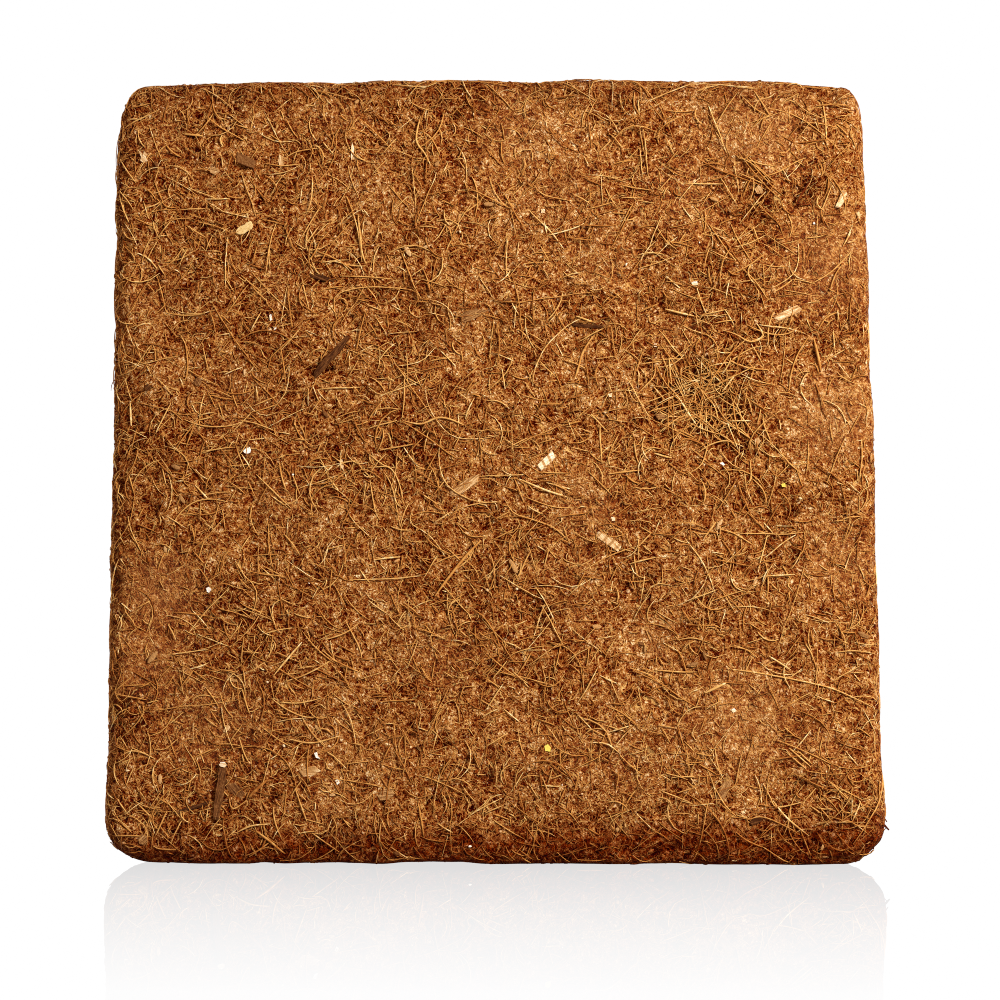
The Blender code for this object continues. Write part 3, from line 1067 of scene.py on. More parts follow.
fibreLayers = {
    "fibre_bits": {
        "Density": 33000.0, "Tangle Gain": 0.8, "Front Gain": 0.35, "Length Low": 1.8 * mm,
        "Length High": 7.0 * mm, "Bend": 0.35, "Points": 3, "Tint Low": 0.15, "Tint High": 0.90,
        "Waver": 1.2 * mm, "Waver Size": waver(5 * mm), "Depth Low": -0.35 * mm, "Depth High": 0.10 * mm,
        "Bow": 0.25 * mm, "End Dip": 0.35 * mm, "Thickness": 0.46 * mm, "Sides": 3, "Seed": 3,
    },
    "fibre_fine": {
        "Density": 17500.0, "Tangle Gain": 1.2, "Front Gain": 0.6, "Length Low": 4 * mm,
        "Length High": 13 * mm, "Bend": 0.30, "Points": 4, "Tint Low": 0.20, "Tint High": 0.88,
        "Waver": 1.2 * mm, "Waver Size": waver(7 * mm), "Depth Low": -0.30 * mm, "Depth High": 0.15 * mm,
        "Bow": 0.35 * mm, "End Dip": 0.6 * mm, "Thickness": 0.46 * mm, "Sides": 3, "Seed": 103,
    },
    "fibre_middling": {
        "Density": 8000.0, "Tangle Gain": 1.8, "Front Gain": 1.0, "Length Low": 7 * mm,
        "Length High": 20 * mm, "Bend": 0.30, "Points": 6, "Tint Low": 0.30, "Tint High": 0.93,
        "Waver": 1.6 * mm, "Waver Size": waver(12 * mm), "Depth Low": -0.20 * mm, "Depth High": 0.20 * mm,
        "Bow": 0.45 * mm, "End Dip": 0.8 * mm, "Thickness": 0.52 * mm, "Sides": 3, "Seed": 203,
    },
    "fibre_long": {
        "Density": 1050.0, "Tangle Gain": 2.2, "Front Gain": -0.35, "Length Low": 14 * mm,
        "Length High": 40 * mm, "Bend": 0.35, "Points": 12, "Tint Low": 0.35, "Tint High": 0.92,
        "Waver": 3.6 * mm, "Waver Size": waver(20 * mm), "Depth Low": -0.15 * mm, "Depth High": 0.20 * mm,
        "Bow": 0.4 * mm, "End Dip": 1.1 * mm, "Thickness": 0.52 * mm, "Sides": 4, "Seed": 304,
    },
    "fibre_tangles": {
        "Density": 400.0, "Tangle Gain": 300.0, "Tangle Power": 3.0, "Front Gain": 0.1,
        "Length Low": 7 * mm, "Length High": 24 * mm, "Bend": 0.4, "Points": 7, "Tint Low": 0.40,
        "Tint High": 0.95, "Waver": 2.2 * mm, "Waver Size": waver(12 * mm), "Depth Low": -0.15 * mm,
        "Depth High": 0.35 * mm, "Bow": 0.5 * mm, "End Dip": 0.9 * mm, "Thickness": 0.44 * mm, "Sides": 3,
        "Seed": 355,
    },
}
crumbLayers = {
    "pith_crumbs": {
        "Density": 19000.0, "Front Gain": 0.25, "Dusty Cut": 0.5, "Size Low": 0.5 * mm,
        "Size High": 1.7 * mm, "Stretch Low": 1.1, "Stretch High": 3.2, "Flatness": 0.45,
        "Roughness": 0.35, "Tint Low": 0.0, "Tint High": 1.0, "Subdivisions": 1, "Seed": 407,
    },
}
flakeLayers = {
    "husk_flakes": {
        "Density": 1400.0, "Front Gain": 0.0, "Dusty Cut": 0.3, "Size Low": 0.6 * mm,
        "Size High": 2.0 * mm, "Stretch Low": 1.2, "Stretch High": 3.2, "Flatness": 0.25,
        "Roughness": 0.30, "Tint Low": 0.20, "Tint High": 0.66, "Subdivisions": 2, "Seed": 511,
    },
    "pale_specks": {
        "Density": 500.0, "Front Gain": 0.0, "Dusty Cut": 0.0, "Size Low": 0.45 * mm,
        "Size High": 1.2 * mm, "Stretch Low": 0.9, "Stretch High": 1.8, "Flatness": 0.6,
        "Roughness": 0.30, "Tint Low": 0.70, "Tint High": 0.98, "Subdivisions": 1, "Seed": 617,
    },
}

# fibres seen on the front: width in mm, tint, course as x, y, x, y, ... in pixels
frontFibres = (
    # upper left
    (1.1, 0.78, (358, 215, 360, 235, 362, 253, 366, 264)),
    (0.7, 0.55, (346, 196, 351, 207, 355, 219)),
    (1.0, 0.80, (421, 115, 417, 131, 417, 143, 425, 154, 430, 164)),
    (0.7, 0.70, (421, 131, 431, 138, 440, 155)),
    (0.7, 0.90, (444, 210, 445, 220, 450, 225, 455, 220)),
    (0.7, 0.80, (446, 224, 439, 236, 433, 242)),
    (0.6, 0.75, (278, 219, 272, 235, 269, 253, 270, 270)),
    (0.7, 0.80, (319, 226, 305, 245)),
    (0.6, 0.70, (338, 322, 335, 314, 334, 303, 336, 296, 348, 290, 371, 287, 394, 288, 412, 290, 417, 295)),
    (0.6, 0.65, (334, 303, 340, 298, 346, 301, 347, 308, 342, 312)),
    (0.7, 0.80, (302, 276, 304, 289, 309, 309)),
    (0.8, 0.85, (323, 142, 330, 151)),
    (0.6, 0.65, (286, 119, 293, 132, 298, 138)),
    (0.7, 0.80, (120, 159, 128, 172, 136, 183)),
    (0.6, 0.70, (152, 235, 145, 250, 142, 263)),
    (0.6, 0.62, (157, 276, 162, 294, 166, 312)),
    (0.6, 0.60, (422, 266, 429, 284, 430, 295)),
    (0.7, 0.85, (311, 258, 315, 269, 320, 275)),
    (0.8, 0.85, (261, 312, 251, 330)),
    (0.8, 0.80, (171, 403, 156, 432)),
    (1.0, 0.97, (130, 401, 131, 426)),
    (0.7, 0.75, (253, 406, 277, 396)),
    (0.6, 0.70, (249, 413, 264, 409, 278, 404)),
    (0.8, 0.85, (256, 386, 258, 399)),
    (0.7, 0.70, (340, 276, 368, 277, 392, 279)),
    (0.6, 0.60, (318, 292, 330, 288, 345, 286)),
    (1.1, 0.80, (184, 134, 203, 136)),
    (1.0, 0.90, (222, 135, 220, 140, 223, 147)),
    (0.7, 0.80, (119, 190, 127, 200, 133, 209)),
    (0.7, 0.76, (320, 207, 300, 240)),
    (0.7, 0.80, (347, 197, 352, 210, 358, 232, 362, 262)),
    (0.6, 0.68, (127, 100, 136, 96, 146, 92)),
    (0.6, 0.66, (212, 95, 214, 110, 222, 121)),
    (0.7, 0.62, (206, 116, 220, 127, 236, 136, 247, 142)),
    (0.6, 0.72, (250, 130, 255, 113)),
    (0.8, 0.84, (212, 84, 214, 96)),
    (0.6, 0.70, (265, 163, 282, 166, 300, 164)),
    (0.6, 0.72, (282, 160, 296, 152, 318, 148)),
    (0.7, 0.74, (186, 225, 195, 231, 205, 237)),
    (0.6, 0.66, (230, 232, 215, 226, 198, 222)),
    (0.6, 0.70, (121, 226, 128, 238, 140, 240)),
    (0.6, 0.72, (146, 262, 152, 250, 158, 240)),
    (0.6, 0.68, (184, 246, 172, 262, 158, 268)),
    (0.6, 0.70, (241, 275, 250, 283, 262, 293)),
    (0.5, 0.72, (172, 330, 180, 322, 190, 320)),
    # left and middle
    (1.0, 0.75, (404, 421, 421, 424, 437, 418, 449, 419, 466, 426)),
    (0.8, 0.72, (380, 450, 398, 447, 415, 444)),
    (0.8, 0.82, (278, 458, 286, 455)),
    (0.9, 0.72, (279, 462, 282, 478, 286, 490)),
    (0.7, 0.78, (162, 467, 166, 485)),
    (0.7, 0.75, (129, 475, 134, 493)),
    (0.9, 0.90, (195, 485, 208, 499)),
    (0.9, 0.88, (329, 478, 338, 490)),
    (0.7, 0.70, (434, 494, 447, 478)),
    (0.9, 0.80, (600, 423, 600, 438, 601, 450, 602, 464)),
    (1.1, 0.90, (519, 479, 545, 490, 567, 497)),
    (1.4, 0.62, (435, 596, 449, 577, 466, 556, 481, 540)),
    (0.8, 0.70, (518, 580, 524, 564, 531, 550)),
    (0.7, 0.68, (432, 565, 447, 558, 461, 554)),
    (0.8, 0.90, (502, 369, 505, 389)),
    (1.0, 0.80, (576, 316, 587, 320, 596, 323)),
    (1.2, 0.66, (593, 336, 583, 352, 578, 369, 574, 381)),
    (0.8, 0.75, (608, 474, 624, 472, 641, 470)),
    (0.6, 0.70, (374, 410, 387, 408, 399, 409)),
    (0.7, 0.78, (367, 468, 377, 467, 390, 468, 399, 483, 404, 507)),
    (0.7, 0.75, (370, 480, 375, 510, 380, 520)),
    (0.6, 0.75, (382, 470, 392, 487, 400, 527)),
    (0.7, 0.80, (400, 527, 404, 513, 409, 503)),
    (0.6, 0.78, (507, 448, 527, 438)),
    (0.6, 0.70, (534, 472, 554, 473, 569, 473)),
    (0.6, 0.72, (525, 497, 554, 507, 577, 507)),
    (0.7, 0.70, (505, 500, 514, 513, 534, 520, 554, 528, 570, 542)),
    (0.6, 0.74, (452, 513, 464, 507, 482, 503, 502, 502)),
    (0.6, 0.72, (589, 472, 600, 483, 614, 497)),
    (1.0, 0.90, (374, 560, 387, 558, 400, 557)),
    (0.7, 0.78, (514, 580, 520, 573, 521, 560)),
    (0.7, 0.76, (544, 567, 549, 548)),
    (0.6, 0.70, (490, 553, 494, 567, 495, 587)),
    (0.6, 0.70, (427, 363, 434, 360, 450, 358)),
    (0.6, 0.68, (580, 573, 607, 557, 634, 547)),
    # upper right
    (0.8, 0.80, (822, 100, 825, 118, 827, 147)),
    (0.7, 0.85, (681, 183, 701, 184, 723, 184)),
    (0.6, 0.75, (672, 176, 659, 190)),
    (0.6, 0.72, (533, 184, 544, 195, 567, 200)),
    (0.6, 0.75, (524, 184, 513, 195)),
    (0.7, 0.90, (544, 221, 547, 235)),
    (0.8, 0.92, (638, 100, 639, 114)),
    (0.8, 0.75, (754, 91, 762, 103, 770, 116)),
    (0.6, 0.70, (657, 227, 666, 241, 676, 249)),
    (0.6, 0.70, (678, 244, 686, 232)),
    (1.1, 0.85, (665, 309, 680, 313, 694, 316)),
    (0.9, 0.88, (757, 324, 763, 336, 752, 341)),
    (0.8, 0.88, (843, 246, 851, 232)),
    (0.7, 0.72, (811, 284, 831, 272, 851, 252)),
    (1.5, 0.60, (814, 339, 818, 356, 821, 371)),
    (0.6, 0.55, (739, 153, 752, 170, 768, 188, 780, 198)),
    (0.6, 0.50, (743, 153, 757, 170, 772, 186, 784, 196)),
    (0.6, 0.60, (747, 155, 762, 171, 778, 185)),
    # painted shadow: these three near-black fibres lie in the shade of the broken ledge and stand in for it
    (1.3, 0.0, (797, 204, 800, 196, 805, 189, 811, 180)),
    (0.9, 0.0, (798, 203, 804, 205, 812, 204)),
    (0.8, 0.05, (784, 176, 792, 172, 800, 170)),
    (0.7, 0.66, (635, 90, 634, 104, 640, 116)),
    (0.6, 0.62, (664, 110, 680, 112, 696, 110)),
    (0.6, 0.68, (741, 95, 754, 108, 768, 116)),
    (0.6, 0.72, (801, 122, 822, 124, 845, 130)),
    (0.7, 0.70, (760, 178, 778, 172, 796, 162, 806, 158)),
    (0.6, 0.74, (744, 158, 760, 164, 776, 166)),
    (0.6, 0.70, (737, 172, 750, 178, 764, 184)),
    (0.7, 0.74, (788, 214, 792, 226, 790, 236)),
    (0.6, 0.72, (730, 222, 736, 236, 744, 250, 752, 262)),
    (0.6, 0.74, (742, 268, 756, 282, 768, 300)),
    (0.8, 0.76, (774, 292, 784, 286, 792, 280)),
    (0.6, 0.70, (618, 184, 634, 188, 652, 190)),
    (0.6, 0.70, (640, 268, 660, 262, 680, 254)),
    (0.9, 0.60, (818, 330, 826, 318, 838, 312)),
    # the tangle right of the middle
    (1.0, 0.95, (668, 386, 678, 397, 687, 411, 697, 426)),
    (0.7, 0.80, (653, 386, 664, 399)),
    (0.8, 0.80, (659, 330, 666, 338, 674, 349, 683, 358)),
    (1.0, 0.92, (722, 392, 728, 384, 735, 375)),
    (0.8, 0.85, (705, 400, 715, 395)),
    (0.8, 0.85, (711, 400, 716, 410, 719, 420, 733, 427, 754, 441)),
    (0.7, 0.80, (735, 409, 744, 420, 754, 434)),
    (0.7, 0.80, (723, 420, 739, 428, 751, 439)),
    (0.7, 0.75, (719, 434, 728, 439, 736, 447)),
    (0.8, 0.75, (669, 355, 670, 372, 672, 386)),
    (0.7, 0.70, (656, 361, 655, 372, 652, 379, 634, 397)),
    (0.6, 0.72, (641, 364, 655, 362, 663, 361)),
    (0.6, 0.75, (643, 403, 653, 400, 663, 396)),
    (0.7, 0.80, (704, 409, 705, 414, 707, 428, 708, 441)),
    (0.6, 0.75, (711, 406, 711, 421)),
    (0.7, 0.75, (708, 442, 706, 452, 701, 465, 688, 474)),
    (0.9, 0.35, (676, 446, 684, 439, 695, 441, 705, 446)),
    (0.7, 0.75, (634, 441, 636, 455, 639, 463, 646, 463)),
    (1.0, 0.80, (654, 453, 663, 456, 672, 458)),
    (0.7, 0.75, (726, 359, 737, 364, 756, 371)),
    (0.7, 0.75, (722, 330, 735, 334, 751, 342, 766, 336)),
    (0.7, 0.75, (763, 414, 764, 425, 771, 442)),
    (0.7, 0.75, (750, 460, 751, 477, 747, 483)),
    (0.7, 0.78, (753, 479, 763, 490, 767, 503)),
    (0.7, 0.75, (781, 452, 789, 463, 802, 474)),
    (0.6, 0.70, (775, 479, 789, 465)),
    (0.8, 0.90, (763, 522, 773, 533)),
    (1.1, 0.75, (704, 538, 716, 522)),
    (0.7, 0.75, (636, 549, 652, 532)),
    (0.7, 0.75, (715, 528, 733, 533, 753, 545)),
    (0.6, 0.70, (690, 372, 700, 388, 706, 402)),
    (0.6, 0.65, (676, 372, 690, 380, 703, 392, 714, 406)),
    (0.6, 0.70, (648, 412, 662, 408, 680, 404, 694, 398)),
    (0.7, 0.78, (699, 452, 712, 444, 727, 441, 744, 447)),
    (0.6, 0.70, (660, 432, 672, 422, 684, 416, 700, 414)),
    (0.6, 0.75, (728, 396, 736, 404, 741, 416, 742, 430)),
    # lower left
    (0.8, 0.80, (289, 739, 312, 743, 340, 736)),
    (0.7, 0.75, (271, 698, 286, 709, 305, 717, 322, 717)),
    (0.8, 0.75, (121, 756, 131, 751, 143, 753, 155, 759)),
    (1.3, 0.70, (256, 831, 271, 842, 285, 854)),
    (0.8, 0.80, (199, 748, 204, 763)),
    (0.9, 0.88, (236, 833, 251, 826, 270, 824)),
    (0.9, 0.75, (249, 857, 270, 842)),
    (0.8, 0.70, (273, 807, 275, 822, 282, 840)),
    (0.8, 0.75, (295, 788, 302, 808, 307, 822)),
    (1.8, 0.42, (249, 797, 258, 788, 267, 780)),
    (0.7, 0.70, (229, 798, 233, 809, 247, 800)),
    (0.8, 0.88, (208, 809, 206, 821)),
    (0.8, 0.70, (138, 804, 152, 818)),
    (0.8, 0.70, (156, 835, 167, 811)),
    (0.8, 0.72, (153, 846, 160, 849, 176, 850)),
    (0.6, 0.74, (230, 638, 239, 627, 242, 620)),
    (0.7, 0.80, (259, 635, 279, 630, 292, 628)),
    (1.0, 0.90, (274, 675, 289, 657, 302, 642)),
    (0.7, 0.74, (279, 702, 299, 703, 322, 698)),
    (0.7, 0.82, (250, 672, 265, 662)),
    (0.6, 0.74, (302, 717, 312, 733, 325, 747)),
    (0.6, 0.72, (262, 727, 279, 740, 292, 747)),
    (0.6, 0.74, (220, 693, 225, 707, 232, 717)),
    (0.6, 0.78, (192, 700, 202, 695, 219, 698)),
    (0.7, 0.76, (239, 737, 244, 753, 249, 763)),
    (0.6, 0.72, (147, 703, 159, 700)),
    (0.7, 0.72, (322, 650, 339, 663, 362, 673)),
    (0.7, 0.76, (345, 620, 359, 647, 362, 660)),
    (0.7, 0.74, (325, 640, 345, 633, 359, 623)),
    (0.7, 0.80, (312, 833, 332, 847, 339, 852)),
    (0.6, 0.62, (112, 807, 119, 820, 132, 833)),
    # right and lower right
    (0.7, 0.70, (630, 668, 650, 675, 663, 683)),
    (0.8, 0.76, (655, 670, 680, 672, 697, 672)),
    (0.6, 0.70, (810, 627, 808, 640, 812, 652)),
    (0.6, 0.74, (733, 645, 747, 650, 758, 658)),
    (0.6, 0.72, (677, 640, 693, 638, 710, 643)),
    (0.6, 0.74, (782, 710, 800, 698, 813, 692)),
    (0.8, 0.12, (830, 683, 832, 700, 830, 710)),
    (0.6, 0.74, (673, 767, 677, 753, 683, 743)),
    (0.6, 0.76, (715, 747, 717, 763, 722, 775)),
    (0.6, 0.70, (777, 740, 797, 748, 817, 757, 837, 767)),
    (0.6, 0.72, (827, 780, 843, 790, 863, 800)),
    (0.7, 0.78, (763, 783, 770, 797, 777, 807, 803, 802)),
    (0.6, 0.72, (677, 793, 697, 787)),
    (0.6, 0.66, (747, 820, 763, 817, 787, 827, 800, 835)),
    (0.8, 0.80, (730, 669, 764, 674, 806, 682, 836, 690, 872, 707)),
    (0.9, 0.90, (769, 656, 791, 670)),
    (1.4, 0.88, (705, 693, 726, 683)),
    (0.8, 0.80, (789, 748, 811, 767)),
    (0.7, 0.72, (798, 751, 812, 764)),
    (0.7, 0.76, (786, 752, 806, 769)),
    (0.7, 0.75, (715, 788, 725, 805, 736, 816)),
    (0.8, 0.72, (736, 832, 746, 840, 762, 847)),
    (0.7, 0.75, (804, 642, 811, 653, 819, 675)),
    (0.7, 0.75, (834, 620, 844, 637, 846, 651)),
    (0.9, 0.90, (773, 801, 784, 815, 795, 825, 809, 836)),
    (0.8, 0.90, (861, 801, 852, 822)),
    (0.8, 0.80, (839, 823, 849, 821, 858, 826, 868, 826)),
    (0.7, 0.75, (809, 805, 822, 814)),
    (0.8, 0.88, (816, 807, 823, 809, 833, 809)),
    (0.7, 0.75, (802, 804, 816, 788)),
    (0.7, 0.75, (828, 780, 849, 800)),
    (0.7, 0.70, (800, 829, 811, 856)),
)

# chips, flakes and bits of husk seen on the front: raised mm, tint, outline as x, y, ... in pixels
frontChips = {
    "kidney": (1.0, 0.70, (235, 232, 237, 229, 240, 226, 244, 225, 247, 222, 251, 221, 253, 225, 252,
                           229, 248, 231, 244, 234, 240, 235, 236, 234)),
    "dullBrown": (1.1, 0.29, (237, 152, 247, 156, 256, 161, 254, 169, 248, 167, 235, 162)),
    "forked": (0.9, 0.74, (138, 150, 141, 152, 143, 156, 144, 151, 147, 154, 146, 158, 148, 161, 143,
                           163, 140, 161, 141, 157)),
    "paleSliver": (0.7, 0.86, (351, 146, 352, 142, 354, 148, 354, 155, 351, 160, 351, 153)),
    "darkHusk": (1.1, 0.13, (314, 372, 321, 361, 334, 349, 346, 335, 350, 337, 343, 349, 330, 363, 320,
                             375, 315, 379)),
    "darkSliver": (0.6, 0.12, (308, 273, 320, 274, 334, 279, 334, 282, 320, 280, 310, 277)),
    "greyStone": (1.2, 0.30, (194, 382, 196, 378, 200, 378, 202, 382, 200, 386, 196, 386)),
    "darkStone": (1.0, 0.16, (145, 387, 147, 384, 150, 385, 151, 389, 148, 391, 145, 390)),
    "whiteSpeck": (1.0, 1.0, (243, 451, 246, 448, 250, 447, 251, 450, 250, 453, 247, 454, 244, 453)),
    "smallWhite": (0.7, 0.97, (269, 315, 271, 314, 272, 320, 270, 321)),
    "smallWhiteLower": (0.7, 0.95, (273, 326, 276, 326, 276, 329, 274, 330)),
    "tanChip": (0.9, 0.64, (774, 318, 785, 310, 797, 305, 802, 309, 800, 312, 789, 317, 778, 322)),
    "lightChip": (0.9, 0.72, (835, 207, 839, 198, 841, 193, 847, 192, 846, 199, 840, 208)),
    "featherHusk": (0.7, 0.40, (460, 316, 466, 311, 476, 309, 488, 310, 480, 316, 470, 321, 462, 323)),
    "greySliver": (0.6, 0.14, (572, 323, 588, 324, 603, 325, 603, 328, 588, 328, 573, 326)),
    "whitishChip": (1.0, 0.86, (536, 466, 544, 458, 552, 451, 557, 456, 549, 464, 541, 471)),
    "tanWide": (0.9, 0.56, (450, 491, 459, 484, 470, 477, 479, 474, 478, 482, 468, 490, 457, 496, 451,
                            496)),
    "pinkStriped": (0.9, 0.72, (598, 531, 605, 534, 614, 539, 622, 546, 618, 552, 607, 545, 596, 537)),
    "darkFlake": (0.8, 0.10, (749, 823, 754, 818, 761, 816, 764, 819, 758, 824, 752, 826)),
    "tangleFlake": (0.7, 0.34, (655, 415, 660, 412, 666, 414, 665, 419, 658, 420)),
    "pinkLump": (1.0, 0.44, (138, 838, 142, 834, 147, 836, 148, 842, 144, 845, 139, 844)),
    "tanLow": (0.8, 0.46, (377, 796, 383, 789, 391, 788, 395, 794, 388, 800, 380, 801)),
    "tanLowLeft": (0.8, 0.58, (299, 772, 306, 767, 315, 766, 321, 771, 313, 776, 303, 777)),
    "lowSpeck": (1.0, 1.0, (314, 753, 317, 752, 318, 756, 320, 759, 316, 758)),
    "lowSpeckRight": (0.9, 0.88, (335, 780, 338, 779, 340, 783, 337, 785)),
    "rightSpeck": (0.8, 0.88, (731, 710, 734, 708, 737, 711, 733, 713)),
    "tanUpper": (0.8, 0.58, (279, 154, 283, 156, 284, 166, 280, 168, 278, 161)),
    "pinkUpperLeft": (0.8, 0.55, (209, 168, 215, 166, 220, 171, 215, 175, 210, 173)),
    "oliveFlake": (0.6, 0.40, (716, 798, 719, 788, 724, 782, 731, 780, 730, 788, 725, 798, 719, 803)),
    "stickPlate": (0.6, 0.28, (226, 779, 235, 782, 245, 793, 241, 799, 232, 794, 226, 788)),
    "leftSpeck": (0.9, 0.98, (206, 588, 208, 587, 211, 588, 211, 590, 209, 593, 207, 592)),
    "tangleSpeck": (0.9, 1.0, (720, 463, 722, 462, 724, 463, 725, 465, 723, 466, 721, 465)),
    "upperSpeck": (0.8, 0.90, (691, 282, 697, 281, 698, 285, 692, 286)),
    "highSpeck": (0.8, 0.85, (541, 209, 545, 209, 545, 213, 541, 213)),
    "overTangleSpeck": (0.7, 0.88, (653, 344, 657, 343, 657, 347, 654, 347)),
    "middleSpeck": (0.7, 0.85, (611, 517, 615, 517, 615, 521, 612, 521)),
    "besideTangleSpeck": (0.7, 0.85, (608, 394, 612, 393, 612, 397, 609, 397)),
    "yellowLow": (0.9, 0.80, (544, 746, 548, 744, 551, 748, 550, 752, 545, 751)),
    "yellowRight": (0.7, 0.78, (781, 484, 785, 483, 786, 487, 782, 487)),
    "paleTangleChip": (0.8, 0.64, (754, 440, 758, 437, 761, 441, 758, 445, 755, 444)),
    "pinkUpper": (0.9, 0.55, (754, 189, 758, 185, 763, 188, 762, 194, 757, 194)),
    "paleEdge": (0.8, 0.66, (856, 214, 859, 211, 861, 215, 859, 219)),
    "paleShort": (0.8, 0.72, (339, 460, 342, 459, 344, 466, 343, 470, 340, 467)),
    "darkStripLow": (0.6, 0.10, (174, 811, 185, 808, 198, 804, 209, 801, 209, 804, 198, 808, 185, 812,
                                 175, 815)),
    "brownStick": (1.8, 0.24, (219, 766, 226, 766, 226, 780, 224, 795, 221, 808, 219, 820, 213, 819,
                               214, 805, 216, 790, 218, 778)),
    "stickTip": (2.1, 0.80, (219, 765, 221, 762, 225, 762, 227, 765, 225, 768, 221, 767)),
}

# how much of the streaks each chip shows, cross bands, and yellow
chipStyles = {
    "kidney": {"streaks": 0.25, "yellow": 0.2}, "dullBrown": {"streaks": 0.2}, "tanChip": {"streaks": 1.4},
    "whitishChip": {"streaks": 0.6, "bands": 0.7}, "pinkStriped": {"streaks": 0.8, "bands": 0.5},
    "whiteSpeck": {"streaks": 0.1}, "leftSpeck": {"streaks": 0.1}, "tangleSpeck": {"streaks": 0.1},
    "lowSpeck": {"streaks": 0.1}, "yellowLow": {"streaks": 0.3, "yellow": 1.0},
    "yellowRight": {"streaks": 0.3, "yellow": 1.0},
}

# stiff hairs that stand out past the edge: width in mm, tint, course in pixels
edgeHairs = (
    (0.9, 0.10, (876, 813, 882, 811, 885, 809, 886, 808)),
    (0.7, 0.08, (878, 807, 883, 809, 886, 813)),
    (1.4, 0.08, (876, 820, 883, 824, 887, 828, 889, 830)),
    (0.9, 0.10, (878, 814, 884, 818, 887, 822)),
    (0.6, 0.15, (878, 833, 883, 831, 886, 828)),
    (0.4, 0.30, (116, 378, 112, 384, 111, 391)),
    (0.4, 0.30, (300, 90, 292, 83, 284, 82)),
    (0.4, 0.30, (560, 86, 566, 80, 572, 82)),
)
hairsBehind = 14 * mm        # of the front, where the edge hairs stand


def finishPiece(piece, stands=None):
    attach(piece, bodyName)
    if stands:
        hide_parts(stands)


def coursePoints(course, find):
    return [find(pixel) for pixel in zip(course[::2], course[1::2])]


def onSkin(pixel):
    return skinTree.ray_cast(*pixelRay(pixel))[0]


# pixels beside the bale, on a plane just behind the front edges
def besideBale(pixel):
    start, direction = pixelRay(pixel)
    return start + direction * ((boxLow.y + hairsBehind - start.y) / direction.y)


def courseCarrier(name, fibres, find):
    points, edges, widths, tints = [], [], [], []
    for width, tint, course in fibres:
        line = [point for point in coursePoints(course, find) if point is not None]
        edges += [(len(points) + i, len(points) + i + 1) for i in range(len(line) - 1)]
        points += line
        widths += [width * mm] * len(line)
        tints += [tint] * len(line)
    data = bpy.data.meshes.new(name)
    data.from_pydata(points, edges, [])
    setAttribute(data, "width", widths)
    setAttribute(data, "tint", tints)
    return bpy.data.objects.new(name, data)


hiddenChips = {
    "count": 34,
    "seed": 12,
    "length": (3.0 * mm, 9.5 * mm),
    "slimness": (0.22, 0.50),
    "raised": (0.8, 1.2),        # mm
    "tint": (0.08, 0.80),
    "corners": 8,
    "uneven": 0.22,
    "floorGap": 8.0 * mm,
    "facing": -0.5,              # least y of the normal, so none lies on the front
}


# a cosine or sine pushed outwards, which squares a ring of corners
def squarish(value):
    return math.copysign(math.sqrt(abs(value)), value)


# rings for chips on the sides that the photo doesn't show
def hiddenChipRings():
    chance = random.Random(hiddenChips["seed"])
    places = [vertex for vertex in skin.data.vertices
              if vertex.normal.y > hiddenChips["facing"] and vertex.co.z > hiddenChips["floorGap"]]
    rings = {}
    for number in range(hiddenChips["count"]):
        place = chance.choice(places)
        normal = place.normal.copy()
        along = normal.cross(Vector([chance.uniform(-1, 1) for _ in range(3)])).normalized()
        across = normal.cross(along)
        length = chance.uniform(*hiddenChips["length"])
        width = length * chance.uniform(*hiddenChips["slimness"])
        ring = []
        for corner in range(hiddenChips["corners"]):
            turn = 2 * math.pi * (corner + 0.5) / hiddenChips["corners"]
            reach = 0.5 * (1 - chance.uniform(0, hiddenChips["uneven"]))
            lengthways = squarish(math.cos(turn)) * length * reach
            sideways = squarish(math.sin(turn)) * width * reach
            ring.append(skinTree.find_nearest(place.co + along * lengthways + across * sideways)[0])
        rings["hidden" + str(number)] = (chance.uniform(*hiddenChips["raised"]),
                                         chance.uniform(*hiddenChips["tint"]), ring)
    return rings


chipShape = {
    "bed": 0.65 * mm,        # how far the whole chip is pressed in
    "sunk": 1.6 * mm,
    "footShare": 0.85,       # width of the sunk foot against the outline
    "topShare": 0.90,        # the same for the flat top
    "shoulder": 0.62,        # height of the widest ring against the whole
    "dish": 0.04 * mm,       # how far the top's middle lies under its rim
    "jitter": 0.12,
    "shake": (3.7, 1.9, 5),  # steps in the noise by chip, corner and ring
    "streakStep": 11.0,      # keeps the streaks of one chip apart from the next one's
}


